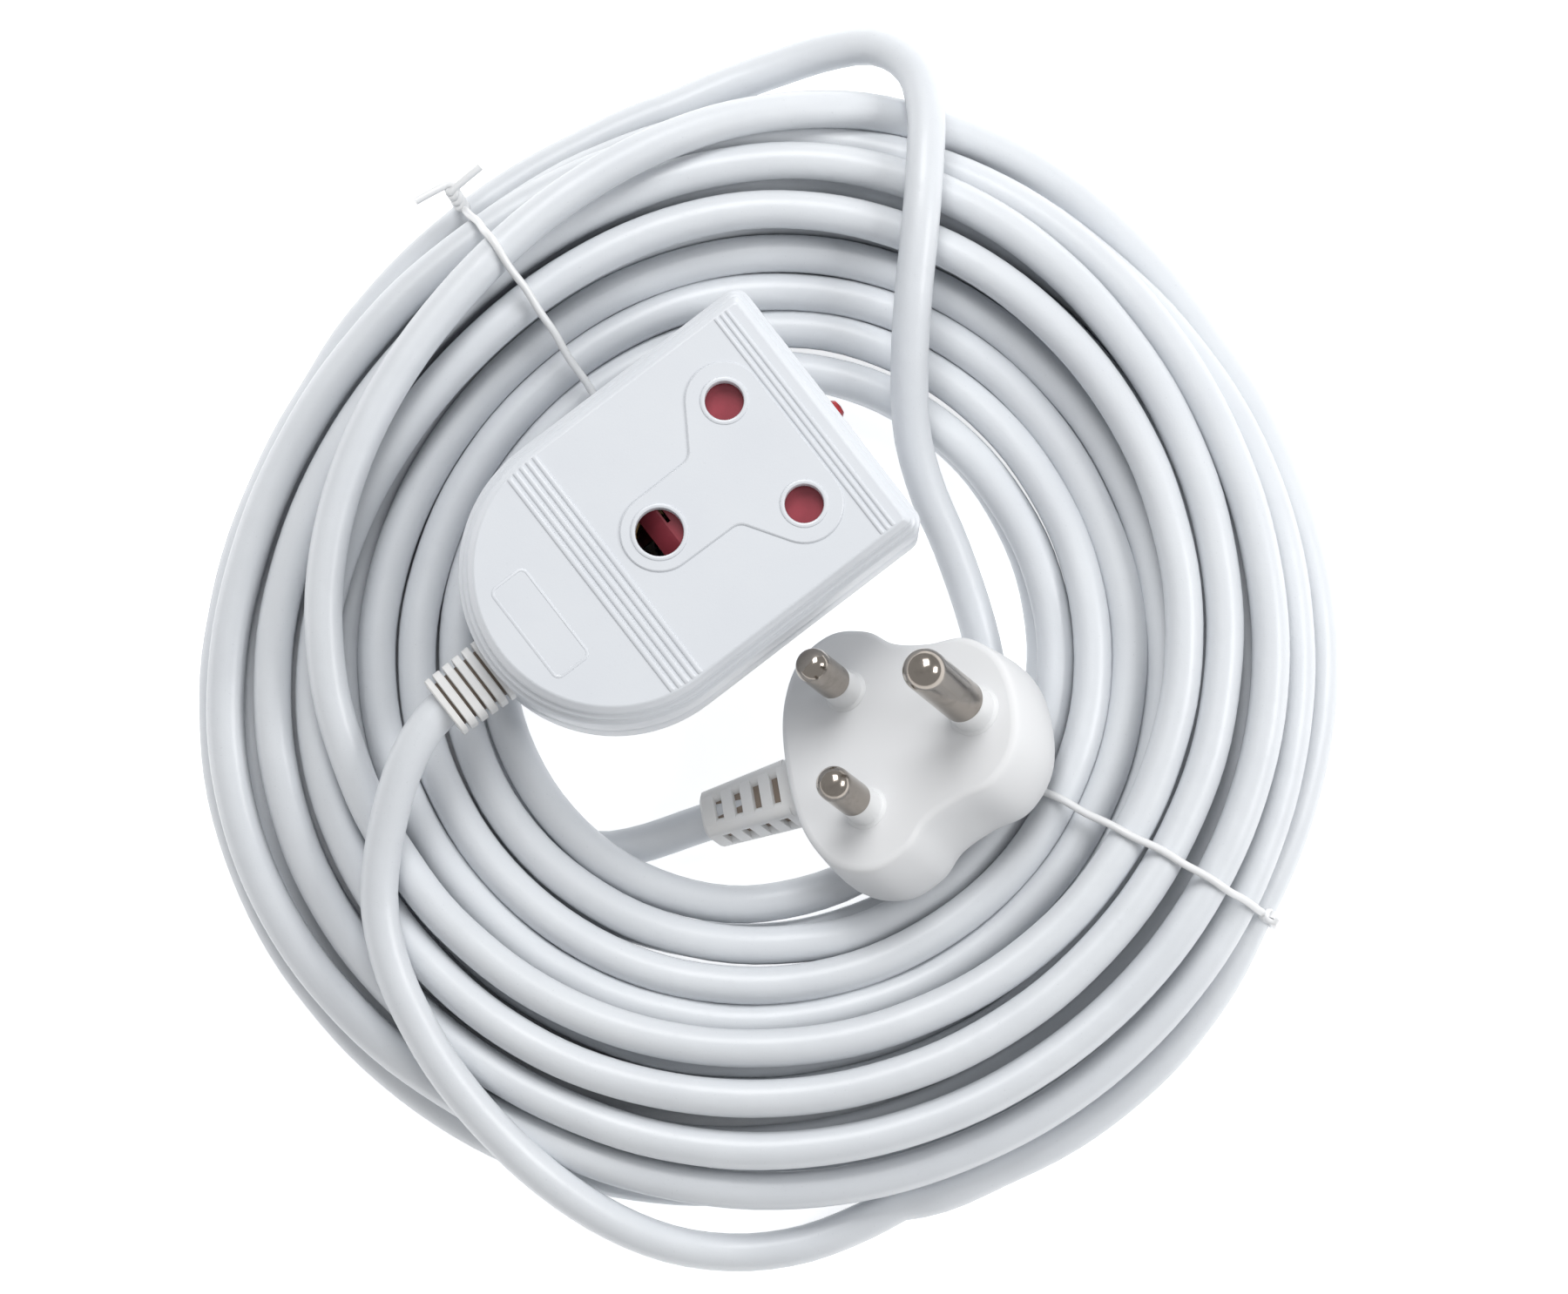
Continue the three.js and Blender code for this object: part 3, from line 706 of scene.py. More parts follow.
@dataclass
class CordLay:
    """The whole cord's centreline, laid in three layers and then settled under its own weight.

    Lengths are in millimetres from the coil's centre.
    """

    diameter: float = 7.6
    step: float = 4.0
    rounds: int = 360
    friction: float = 0.045  # how firmly a turn keeps to its own radius
    coupler_lead: list[Point3] = field(default_factory=lambda: [
        (-63.2, -15.5, 35.6), (-66.6, -19.4, 35.3), (-69.8, -25.2, 34.2), (-72.6, -33.2, 31.9),
        (-74.8, -43.2, 29.0), (-75.4, -53.4, 26.8), (-73.2, -64.4, 25.2), (-68.8, -74.6, 23.8),
        (-62.4, -85.4, 21.4), (-53.5, -96.2, 17.6), (-42.9, -106.0, 13.0), (-30.8, -114.0, 8.8),
        (-18.2, -119.0, 5.8), (-5.5, -120.6, 4.3), (6.5, -119.3, 4.2), (16.8, -115.8, 3.9),
        (26.2, -111.2, 3.9),
    ])
    crossing_loop: list[Point3] = field(default_factory=lambda: [
        (45.2, -10.0, 3.9), (44.4, -2.0, 4.3), (41.8, 8.0, 6.4), (37.4, 20.0, 10.4),
        (32.4, 31.0, 15.4), (29.4, 42.0, 20.4), (28.9, 55.0, 26.0), (29.6, 68.0, 30.0),
        (31.0, 82.0, 31.2), (32.0, 95.0, 29.4), (32.2, 106.0, 25.0), (29.6, 115.4, 19.0),
        (22.5, 120.8, 13.2), (13.0, 120.6, 8.6), (3.0, 118.0, 5.6), (-8.0, 114.2, 4.2),
        (-20.1, 109.0, 3.9),
    ])
    plug_lead: list[Point3] = field(default_factory=lambda: [
        (-55.0, -15.0, 3.9), (-52.2, -25.5, 3.9), (-47.0, -34.0, 3.9), (-39.6, -39.2, 3.9),
        (-31.0, -40.4, 3.9), (-22.4, -38.6, 3.9), (-18.6, -37.3, 4.1), (-14.8, -36.0, 5.1),
        (-11.2, -34.9, 6.5),
    ])
    # turning in degrees from the start, radius, height
    upper_turns: list[Point3] = field(default_factory=lambda: [
        (0, 113.3, 3.9), (9, 110.6, 3.9), (100, 110.2, 3.9), (150, 107, 12), (190, 100, 20),
        (290, 85, 24.5), (340, 83, 18), (1468, 107, 12), (3830, 55.5, 10.8), (3912, 55.5, 11.0),
        (3940, 55.0, 4.4), (3970, 52.8, 3.9), (3996, 49.5, 3.9), (4024.3, 45.2, 3.9),
    ])
    lower_turns: list[Point3] = field(default_factory=lambda: [
        (0, 111.2, 3.9), (40, 110.2, 3.9), (180, 103.3, 3.9), (2254.8, 57.2, 3.9),
    ])
    # direction in degrees, how far the coil reaches that way
    outer_edge: list[Point2] = field(default_factory=lambda: [
        (0, 115.5), (35, 112.0), (60, 114.5), (98, 115.0), (122, 107.0), (145, 106.5), (195, 117.0),
        (240, 117.5), (285, 114.5), (360, 115.5),
    ])
    tie_angles: tuple[float, ...] = (124.5, -28.5)
    tie_lift: float = 1.75
    usual_reach: float = 114.2
    inner_limit: float = 53.2
    outer_limit: float = 110.4
    slack: float = 0.25  # the gap that turns are pushed to
    look_round: float = 3.25  # how far past touching two points still make a pair
    falls: Point2 = (0.10, 0.04)  # drop in each round, at first and at the end
    # the room that the coupler takes, in its own frame, with the cord's radius added
    coupler_turn: float = -12.0
    coupler_half: float = 34.3
    coupler_far: float = 46.3
    coupler_ceiling: float = 14.3
    # the same for the plug
    plug_ends: Point2 = (-19.0, 38.0)
    plug_half: float = 29.0
    plug_heights: Point2 = (-26.3, 5.0)
    duck: float = 0.8  # how fast a turn moves out from under either

    def __post_init__(self) -> None:
        """Lays the route out and settles it."""
        self.fixed = np.zeros(0, bool)
        self.points = self._laid()
        self._wander()
        self._settle()

    @property
    def radius(self) -> float:
        """Half the cord's diameter."""
        return self.diameter / 2

    def length(self) -> float:
        """Returns the centreline's length."""
        return float(np.linalg.norm(np.diff(self.points, axis=0), axis=1).sum())

    def _reach(self, angle: np.ndarray) -> np.ndarray:
        """Returns how far the coil reaches in each direction, as a share of its usual reach.

        Args:
            angle: directions in degrees.
        """
        directions, edges = np.array(self.outer_edge).T
        return np.interp(angle % 360, directions, edges) / self.usual_reach

    def _spiral(self, start: float, table: list[Point3]) -> np.ndarray:
        """Winds a spiral through a table of radii and heights.

        Args:
            start: the first angle, in degrees.
            table: turning, radius and height at each stage.

        Returns:
            The spiral's points.
        """
        stages = np.array(table, float)
        turning = np.arange(0, stages[-1, 0], 1.5)[1:]
        even = np.ones(15) / 15
        radius, height = (
            np.convolve(np.pad(np.interp(turning, stages[:, 0], stages[:, k]), 7, "reflect",
                               reflect_type="odd"), even, "valid")
            for k in (1, 2))
        radius *= 1 + (self._reach(start + turning) - 1) * np.clip((radius - 30) / 80, 0, 1)
        angle = np.radians(start + turning)
        return np.c_[radius * np.cos(angle), radius * np.sin(angle), height]

    def _laid(self) -> np.ndarray:
        """Joins the listed stretches and the spirals, and notes which points stay put.

        Returns:
            Evenly spaced points from the coupler to the plug.
        """
        coupler, plug = coupler_place(), plug_place()
        start = [in_coil(coupler, x, 0, 0) for x in (-46.0, -50.0)]
        end = [in_coil(plug, x, 0, -11) for x in (-33.0, -26.0)]
        stretches = [
            (catmull(start + self.coupler_lead, 12), 1.0),
            (self._spiral(-76.75, self.upper_turns), 0.0),
            (catmull(self.crossing_loop, 12), 1.0),
            (self._spiral(100.5, self.lower_turns), 0.0),
            (catmull(self.plug_lead + end, 12), 1.0),
        ]
        route = np.vstack([points for points, _ in stretches])
        held = np.concatenate([np.full(len(points), flag) for points, flag in stretches])
        along = np.r_[0, np.cumsum(np.linalg.norm(np.diff(route, axis=0), axis=1))]
        even = np.linspace(0, along[-1], int(round(along[-1] / self.step)) + 1)
        self.fixed = np.interp(even, along, held) > 0.5
        return np.stack([np.interp(even, along, route[:, k]) for k in range(3)], axis=1)

    def _wander(self, reach: float = 3.0, spacing: float = 170.0) -> None:
        """Lets each turn stray a little in radius, as a hand-wound coil does.

        Args:
            reach: how far a turn strays.
            spacing: the distance along the cord between changes.
        """
        count = len(self.points)
        stray = np.random.default_rng(11).normal(0, 1, int(count * self.step / spacing) + 4)
        drift = np.interp(np.linspace(0, len(stray) - 1, count), np.arange(len(stray)), stray)
        drift = self._smoothed(drift, 41) * reach * self._smoothed((~self.fixed).astype(float), 31)
        drift *= ~self.fixed
        self.points[:, :2] *= (1 + drift / np.linalg.norm(self.points[:, :2], axis=1))[:, None]

    @staticmethod
    def _smoothed(values: np.ndarray, width: int) -> np.ndarray:
        """Returns the values smoothed by a bell of that many points.

        Args:
            values: the values.
            width: an odd number of points.
        """
        bell = np.hanning(width)
        return np.convolve(np.pad(values, width // 2, "edge"), bell / bell.sum(), "valid")

    def _straighten(self, reach: int, strength: float, free: np.ndarray) -> None:
        """Evens out the bend along the cord without shrinking its turns.

        Args:
            reach: how many points away a neighbour is.
            strength: how much of the unevenness goes.
            free: 1 for the points that may move.
        """
        p = self.points
        bend = np.zeros_like(p)
        bend[reach:-reach] = 0.5 * (p[:-2 * reach] + p[2 * reach:]) - p[reach:-reach]
        turn = np.cos(reach * self.step / np.maximum(np.linalg.norm(p[:, :2], axis=1), 40))[:, None]
        uneven = np.zeros_like(p)
        uneven[2 * reach:-2 * reach] = (
            turn[2 * reach:-2 * reach] * bend[2 * reach:-2 * reach]
            - 0.5 * (bend[reach:-3 * reach] + bend[3 * reach:-reach]))
        p += strength * uneven * free

    def _near_pairs(self, reach: float, skip: int = 5) -> tuple[np.ndarray, np.ndarray]:
        """Finds points on different turns that lie close together.

        Args:
            reach: how close, in millimetres.
            skip: neighbours along the cord that don't count.

        Returns:
            The two points of each pair.
        """
        p = self.points.astype(np.float32)
        square = (p * p).sum(1)
        apart = square[:, None] + square[None, :] - 2 * p @ p.T
        first, second = np.nonzero(apart < reach ** 2)
        keep = second > first + skip
        return first[keep], second[keep]

    def _part(self, pairs: tuple[np.ndarray, np.ndarray], gap: float, weight: np.ndarray) -> None:
        """Pushes turns apart where they would lie in each other.

        Args:
            pairs: the points of each near pair.
            gap: the least distance between centrelines.
            weight: 0 for points that stay put, otherwise 1.
        """
        first, second = pairs
        away = self.points[first] - self.points[second]
        apart = np.linalg.norm(away, axis=1) + 1e-9
        share = weight[first] + weight[second]
        hit = (apart < gap) & (share > 0)
        first, second = first[hit], second[hit]
        push = (0.5 * (gap - apart[hit]) / apart[hit] / share[hit])[:, None] * away[hit]
        count = len(self.points)
        moved = np.stack([
            np.bincount(first, push[:, k] * weight[first], count)
            - np.bincount(second, push[:, k] * weight[second], count) for k in range(3)], axis=1)
        self.points += np.clip(moved, -1.2, 1.2)

    def _hold_length(self, rest: np.ndarray, weight: np.ndarray) -> None:
        """Keeps neighbours along the cord at their first distance.

        Args:
            rest: the first distances.
            weight: 0 for points that stay put, otherwise 1.
        """
        for offset in (0, 1):
            a = np.arange(offset, len(self.points) - 1, 2)
            b = a + 1
            along = self.points[b] - self.points[a]
            apart = np.linalg.norm(along, axis=1)
            share = np.maximum(weight[a] + weight[b], 1)
            pull = (0.6 * (apart - rest[a]) / apart / share)[:, None] * along
            self.points[a] += pull * weight[a][:, None]
            self.points[b] -= pull * weight[b][:, None]

    def _ground(self) -> np.ndarray:
        """Returns the lowest height of each point: the floor, or the tie that passes below."""
        p = self.points
        height = np.full(len(p), self.radius)
        for angle in np.radians(self.tie_angles):
            along = p[:, 0] * np.cos(angle) + p[:, 1] * np.sin(angle)
            across = p[:, 1] * np.cos(angle) - p[:, 0] * np.sin(angle)
            height += np.where(along > 40, self.tie_lift * np.exp(-(across / 8) ** 2), 0)
        return height

    def _keep_clear(self, free: np.ndarray, inside: np.ndarray) -> None:
        """Keeps the turns on the floor, in the ring, under the coupler and under the plug.

        Args:
            free: the points that may move.
            inside: the points that are well within the coil.
        """
        p = self.points
        p[free, 2] = np.maximum(p[free, 2], self._ground()[free])
        radius = np.linalg.norm(p[:, :2], axis=1)
        reach = self._reach(np.degrees(np.arctan2(p[:, 1], p[:, 0])))
        limit = np.clip(radius, self.inner_limit, self.outer_limit * reach)
        p[inside, :2] *= (limit / radius)[inside, None]
        to_coupler = np.array((coupler_place().inverted() @ Matrix.Translation(
            Vector(COIL_CENTRE) * MM)))
        x, y = (p @ to_coupler[:2, :3].T + to_coupler[:2, 3] / MM).T
        beyond = np.minimum(x - self.coupler_turn, 0)
        out = np.hypot(beyond, y)
        under = free & (out < self.coupler_half) & (x < self.coupler_far)
        under &= p[:, 2] > self.coupler_ceiling
        p[under, 2] = np.maximum(p[under, 2] - self.duck, self.coupler_ceiling)
        to_plug = np.array(plug_place().inverted() @ Matrix.Translation(Vector(COIL_CENTRE) * MM))
        x, y, z = (p @ to_plug[:3, :3].T + to_plug[:3, 3] / MM).T
        low, high = self.plug_heights
        near = free & (x > self.plug_ends[0]) & (x < self.plug_ends[1])
        near &= (np.abs(y) < self.plug_half) & (z > low) & (z < high)
        p[near] -= np.minimum(z[near] - low, self.duck)[:, None] * to_plug[2, :3]

    def _settle(self) -> None:
        """Drops the cord under its weight, holding its length, its bend and its thickness."""
        free = ~self.fixed
        weight = free.astype(float)
        rest = np.linalg.norm(np.diff(self.points, axis=0), axis=1)
        joins = np.nonzero(np.diff(self.fixed.astype(int)))[0]
        numbers = np.arange(len(self.points))
        inside = free & (np.abs(numbers[:, None] - joins[None, :]).min(1) > 22)
        home = np.linalg.norm(self.points[:, :2], axis=1)
        for step in range(self.rounds):
            radius = np.linalg.norm(self.points[:, :2], axis=1)
            grip = 1 + self.friction * weight * (home - radius) / radius
            self.points[:, :2] *= grip[:, None]
            self.points[:, 2] -= self.falls[step >= 0.8 * self.rounds] * weight
            self._straighten(1, 0.9, weight[:, None])
            self._straighten(5, 0.35, weight[:, None])
            if step % 10 == 0:
                pairs = self._near_pairs(self.diameter + self.look_round)
            for _ in range(3):
                self._part(pairs, self.diameter + self.slack, weight)
            for _ in range(2):
                self._hold_length(rest, weight)
            self._keep_clear(free, inside)
        for _ in range(3):
            evened = self.points.copy()
            evened[1:-1] = 0.25 * self.points[:-2] + 0.5 * self.points[1:-1] + 0.25 * self.points[2:]
            self.points[free] = evened[free]

    def world(self, point: np.ndarray) -> Vector:
        """Returns a point in the part's frame, in metres.

        Args:
            point: millimetres from the coil's centre.
        """
        return Vector((point + COIL_CENTRE) * MM)

    def top_over(self, angle: float) -> list[Point2]:
        """Finds the line that a tight wire takes over the coil at one angle.

        Args:
            angle: the direction from the coil's centre, in degrees.

        Returns:
            Radius and height pairs of the hull over the turns, from inside to outside.
        """
        turn = math.radians(angle)
        along = self.points[:, 0] * math.cos(turn) + self.points[:, 1] * math.sin(turn)
        across = self.points[:, 1] * math.cos(turn) - self.points[:, 0] * math.sin(turn)
        cut = np.nonzero((across[:-1] * across[1:] <= 0) & (along[:-1] > 30))[0]
        share = across[cut] / (across[cut] - across[cut + 1] + 1e-12)
        mid = self.points[cut] + (self.points[cut + 1] - self.points[cut]) * share[:, None]
        radial = mid[:, 0] * math.cos(turn) + mid[:, 1] * math.sin(turn)
        reach = self.radius + 0.9
        rim = [(r + reach * math.cos(a), z + reach * math.sin(a))
               for r, z in zip(radial, mid[:, 2]) for a in np.linspace(-0.5, math.pi + 0.5, 24)]
        hull: list[Point2] = []
        for p in sorted(rim):
            while len(hull) > 1 and self._sags(hull[-2], hull[-1], p):
                hull.pop()
            hull.append(p)
        return hull

    @staticmethod
    def _sags(a: Point2, b: Point2, c: Point2) -> bool:
        """Returns whether b lies on or below the line from a to c."""
        return (b[0] - a[0]) * (c[1] - a[1]) - (b[1] - a[1]) * (c[0] - a[0]) >= 0


def wire_object(name: str, splines: list[list[Vector]], radius: float, sides: int) -> bpy.types.Object:
    """Makes a round wire along smooth paths.

    Args:
        name: the piece's name.
        splines: the paths, in metres.
        radius: the wire's radius, in metres.
        sides: the bevel's resolution.

    Returns:
        The curve object.
    """
    curve = bpy.data.curves.new(name, "CURVE")
    curve.dimensions = "3D"
    curve.bevel_depth = radius
    curve.bevel_resolution = sides
    curve.use_fill_caps = True
    for points in splines:
        spline = curve.splines.new("POLY")
        spline.points.add(len(points) - 1)
        spline.points.foreach_set("co", [v for p in points for v in (*p, 1.0)])
        spline.use_smooth = True
    made = bpy.data.objects.new(name, curve)
    bpy.context.scene.collection.objects.link(made)
    return made


@dataclass
class Cord:
    """The white three-core flex from the coupler to the plug."""

    stated_length: float = 10.0  # metres
    nodes: tuple[str, ...] = (
        "cord_coil", "coupler_lead", "crossing_loop", "plug_lead", "coupler_cord_tail",
        "plug_cord_tail")

    def build(self, lay: CordLay) -> bpy.types.Object:
        """Draws the cord along its settled centreline.

        Args:
            lay: the centreline.

        Returns:
            The cord.
        """
        points = [lay.world(p) for p in lay.points]
        cord = wire_object("cord", [points], lay.radius * MM, 6)
        cord.data.materials.append(Finish.FLEX.material())
        LOG.info("cord centreline %.2f m", lay.length() * MM)
        return settle(cord, Slot.FLEX, *self.nodes)


@dataclass
class WireTies:
    """Two plastic-coated wires twisted round the coil."""

    wire: float = 0.8  # radius
    knots: tuple[float, ...] = (0.93, 0.96)  # how far along each wire's top the twist sits
    tips: tuple[int, ...] = (7, 2)  # how long each twist's loose ends are

    def build(self, lay: CordLay) -> list[bpy.types.Object]:
        """Bends both ties round the settled turns.

        Args:
            lay: the cord's centreline.

        Returns:
            The two ties.
        """
        names = ("wire_tie_upper", "wire_tie_lower")
        return [self._tie(name, angle, lay, knot, tip)
                for name, angle, knot, tip in zip(names, lay.tie_angles, self.knots, self.tips)]

    def _tie(
        self, name: str, angle: float, lay: CordLay, knot: float, tip: int,
    ) -> bpy.types.Object:
        """Bends one tie.

        Args:
            name: the CAD node that it stands for.
            angle: its direction from the coil's centre, in degrees.
            lay: the cord's centreline.
            knot: where along the top the twist sits, from 0 inside to 1 outside.
            tip: how long the loose ends are.

        Returns:
            The tie.
        """
        over = lay.top_over(angle)
        inner, outer = over[0][0] - 0.2, over[-1][0] + 0.2
        loop = [(inner + 1.5, self.wire + 0.05), (inner, 2.2), *over, (outer, 2.2),
                (outer - 1.5, self.wire + 0.05)]
        loop = self._spaced(loop + [loop[0]], 1.6)
        turn = Matrix.Rotation(math.radians(angle), 4, "Z")
        sway = [0.12 * math.sin(0.9 * i) + 0.12 * math.sin(0.37 * i) for i in range(len(loop))]
        ring = [(r, s * (z > 2.5), z) for (r, z), s in zip(loop, sway)]
        near = min(ring, key=lambda p: abs(p[0] - (inner + knot * (outer - inner))) - 0.01 * p[2])
        splines = [ring, *self._ends(near, tip)]
        paths = [[lay.world(np.array(turn @ Vector(p))) for p in points] for points in splines]
        tie = wire_object(name + "_wire", paths, self.wire * MM, 3)
        tie.data.materials.append(Finish.TIE.material())
        return settle(tie, Slot.TIE, name)

    @staticmethod
    def _spaced(points: list[Point2], step: float) -> list[Point2]:
        """Spreads points evenly along a flat path.

        Args:
            points: the path.
            step: the distance between points.

        Returns:
            The new points.
        """
        p = np.array(points)
        along = np.r_[0, np.cumsum(np.linalg.norm(np.diff(p, axis=0), axis=1))]
        even = np.linspace(0, along[-1], int(along[-1] / step) + 1)
        return list(zip(np.interp(even, along, p[:, 0]), np.interp(even, along, p[:, 1])))

    def _ends(self, at: Point3, tip: int) -> list[list[Point3]]:
        """Twists the wire's two ends together and splays their tips.

        Args:
            at: where the twist starts.
            tip: how long the tips are.

        Returns:
            One path for each end.
        """
        ends = []
        for side in (1, -1):
            path = []
            for i in range(4 + 2 * tip):
                a = i * 0.75 + (0 if side > 0 else math.pi)
                path.append((at[0] + 0.28 * i + 0.8 * math.cos(a), at[1] + 0.8 * math.sin(a),
                             at[2] + 0.6 + 0.12 * i))
            x, y, z = path[-1]
            for i in range(1, tip):
                path.append((x + 0.1 * i, y + side * (0.9 * i + 0.05 * i * i), z + 0.15 * i))
            ends.append(path)
        return ends


# ------------------------------------------------------------------ the coupler


class Side(Enum):
    """The coupler's two covers: which CAD node each is, and how it is turned."""

    FRONT = "front_cover"
    BACK = "back_cover"

    def place(self) -> Matrix:
        """Returns the cover's frame, its Z out of its own face."""
        if self is Side.FRONT:
            return coupler_place()
        middle = Matrix.Translation(Vector((BACK_TURN, 0, 0)) * MM)
        return coupler_place() @ middle @ Matrix.Rotation(math.pi, 4, "Y")

    def own_x(self, x: float) -> float:
        """Returns an x of the coupler's frame in the cover's own frame."""
        return x if self is Side.FRONT else BACK_TURN - x


@dataclass
class Cover:
    """One moulded half of the coupler's shell, stepped at its edges, with three pin holes."""

    side: Side
    length: float = 84.0
    width: float = 60.0
    half_thickness: float = 17.0
    wall: float = 2.4
    corner: float = 3.2
    earth: Point2 = (-0.4, 0.0)
    live: Point2 = (25.2, 12.7)
    neutral: Point2 = (25.2, -12.7)
    pin_hole: float = 3.8
    earth_hole: float = 4.7
    rim: float = 0.95
    lobe: float = 7.8
    pad: float = 0.42
    pad_neck: Point2 = (12.8, 8.0)
    flat_edge: float = 3.4  # from the outline in to the flat face
    badge: Point3 = (-29.5, 8.5, 22.0)  # middle, width and length
    far_ridges: tuple[float, ...] = (33.75, 35.1, 36.4)
    near_ridges: tuple[float, ...] = (-10.7, -12.3, -13.9, -15.5, -17.1)

    @property
    def end_centre(self) -> float:
        """The x that the rounded end is drawn about."""
        return self.width / 2 - self.length / 2

    def outline(self, inset: float) -> list[Point2]:
        """Returns the cover's outline, drawn in from its edge.

        Args:
            inset: how far in.
        """
        half, far, near = self.width / 2 - inset, self.length / 2 - inset, self.end_centre
        corner = max(self.corner - inset, 0.8)
        points = [(far, -half + corner + (2 * half - 2 * corner) * t / 10) for t in range(11)]
        points += arc(corner, far - corner, half - corner, 0, 90, 8)[1:]
        points += [(near + (far - corner - near) * (1 - t / 12), half) for t in range(1, 12)]
        points += arc(half, near, 0, 90, 270, 48)
        points += [(near + (far - corner - near) * t / 12, -half) for t in range(1, 12)]
        points += arc(corner, far - corner, -half + corner, 270, 360, 8)[:-1]
        return [(self.side.own_x(x), y) for x, y in points]

    def pad_outline(self, shrink: float) -> list[Point2]:
        """Returns the outline of the raised pad that joins the three holes.

        Args:
            shrink: how far in from the pad's edge.
        """
        lobe, waist = self.lobe - shrink, self.pad_neck[1] - shrink
        neck = self.pad_neck[0] + shrink
        lx, ly = self.live
        reach = math.hypot(neck - lx, waist - ly)
        tangent = math.degrees(math.atan2(waist - ly, neck - lx) - math.acos(lobe / reach)) % 360
        upper = arc(lobe, lx, ly, 0, tangent, 18)
        upper += self._blend(upper[-1], (neck, waist), (self.earth[0], lobe), 6)
        half_earth = arc(lobe, self.earth[0], 0, 90, 180, 14)
        top = upper + half_earth
        return top + [(x, -y) for x, y in reversed(top[:-1])]

    @staticmethod
    def _blend(start: Point2, corner: Point2, end: Point2, steps: int) -> list[Point2]:
        """Rounds the inner corner between two straight edges.

        Args:
            start: where the first edge starts.
            corner: the sharp corner.
            end: where the second edge ends.
            steps: how many steps round the corner.

        Returns:
            Points from near start to near end.
        """
        s, c, e = (Vector(p) for p in (start, corner, end))
        a, b = c + (s - c).normalized() * 1.6, c + (e - c).normalized() * 1.6
        made = []
        for i in range(steps + 1):
            t = i / steps
            made.append(tuple(a * (1 - t) ** 2 + c * (2 * t * (1 - t)) + b * t ** 2))
        return made

    def _holes(self) -> list[tuple[Point2, float]]:
        """Returns each hole's centre and radius."""
        return [(self.live, self.pin_hole), (self.neutral, self.pin_hole), (self.earth, self.earth_hole)]

    def _outside(self, skin: Skin) -> tuple[list[int], list[int]]:
        """Builds the stepped outer wall from the parting line to the face.

        Args:
            skin: the mesh.

        Returns:
            The lowest and the highest ring.
        """
        profile = [
            (0.35, 0.15), (0.08, 0.28), (0.0, 0.6), (0.0, 11.6), (0.1, 12.05), (0.38, 12.3),
            (0.72, 12.4), (0.88, 12.6), (0.9, 13.5), (1.0, 13.85), (1.3, 14.05), (1.7, 14.15),
            (1.88, 14.35), (1.9, 15.1), (2.0, 15.45), (2.25, 15.7), (2.7, 16.35), (2.95, 16.8),
            (3.15, 16.95), (3.4, 17.0),
        ]
        return skin.stack([ring_at(self.outline(inset), z) for inset, z in profile])

    def _inside(self, skin: Skin) -> tuple[list[int], list[int]]:
        """Builds the cavity's wall from the parting line to its ceiling.

        Args:
            skin: the mesh.

        Returns:
            The lowest and the highest ring.
        """
        ceiling = self.half_thickness - self.wall
        profile = [(self.wall, 0.15), (self.wall, 11.6), (self.wall + 1.8, 11.8), (self.wall + 1.8, ceiling)]
        return skin.stack([ring_at(self.outline(inset), z) for inset, z in profile])

    def _face(self, skin: Skin, top: list[int], ceiling: list[int]) -> None:
        """Closes the face and the ceiling, with the raised pad, the rims and the holes.

        Args:
            skin: the mesh.
            top: the outer ring at the face.
            ceiling: the ring at the cavity's ceiling.
        """
        z = self.half_thickness
        rise = [(0.0, z), (0.06, z + 0.2), (0.16, z + 0.34), (0.34, z + self.pad)]
        foot, crown = skin.stack([ring_at(self.pad_outline(s), h) for s, h in rise])
        skin.lid(top, (foot,))
        rims, bores = [], []
        for (x, y), radius in self._holes():
            lip = z + self.pad
            profile = [
                (radius + self.rim, lip), (radius + self.rim - 0.1, lip + 0.2),
                (radius + self.rim - 0.35, lip + 0.3), (radius + 0.35, lip + 0.3),
                (radius + 0.1, lip + 0.2), (radius, lip - 0.05), (radius, z - self.wall),
            ]
            first, last = skin.stack(turned_rings(profile, x, y))
            rims.append(first)
            bores.append(last)
        skin.lid(crown, tuple(rims))
        skin.lid(ceiling, tuple(bores))

    def _ridge(self, skin: Skin, x: float, half: float, width: float, height: float) -> None:
        """Lays one half-round ridge across the face.

        Args:
            skin: the mesh.
            x: where it lies.
            half: half its length.
            width: its width.
            height: how far it stands up.
        """
        z = self.half_thickness
        section = [(width / 2 * math.cos(a), height * math.sin(a)) for a in np.linspace(0, math.pi, 9)]
        rings = []
        for y, fade in ((-half, 0.15), (-half + 0.5, 1.0), (half - 0.5, 1.0), (half, 0.15)):
            top = [(x + dx, y, z + dz * fade) for dx, dz in section]
            rings.append(top + [(x - width / 2, y, z - 0.4), (x + width / 2, y, z - 0.4)])
        skin.tube(rings)

    def _ridges(self, skin: Skin) -> None:
        """Lays the grip ridges at both ends of the face.

        Args:
            skin: the mesh.
        """
        flat = self.width / 2 - self.flat_edge
        for x in self.near_ridges:
            half = math.sqrt(flat ** 2 - min(x - self.end_centre, 0.0) ** 2)
            self._ridge(skin, self.side.own_x(x), half, 1.15, 0.42)
        for x in self.far_ridges:
            self._ridge(skin, self.side.own_x(x), flat, 0.95, 0.4)

    def _badge(self, skin: Skin) -> None:
        """Raises the blank badge, with a shallow field inside its rim.

        Args:
            skin: the mesh.
        """
        x, width, length = self.badge
        centre = self.side.own_x(x)
        rings = []
        for shrink, corner, rise in (
                (0.0, 1.6, -0.3), (0.0, 1.6, 0.06), (0.3, 1.5, 0.14), (0.9, 1.2, 0.14), (1.2, 1.1, 0.04)):
            box = rounded_box(width - shrink, length - shrink, corner)
            rings.append([(dx + centre, dy, self.half_thickness + rise) for dx, dy in box])
        skin.tube(rings)

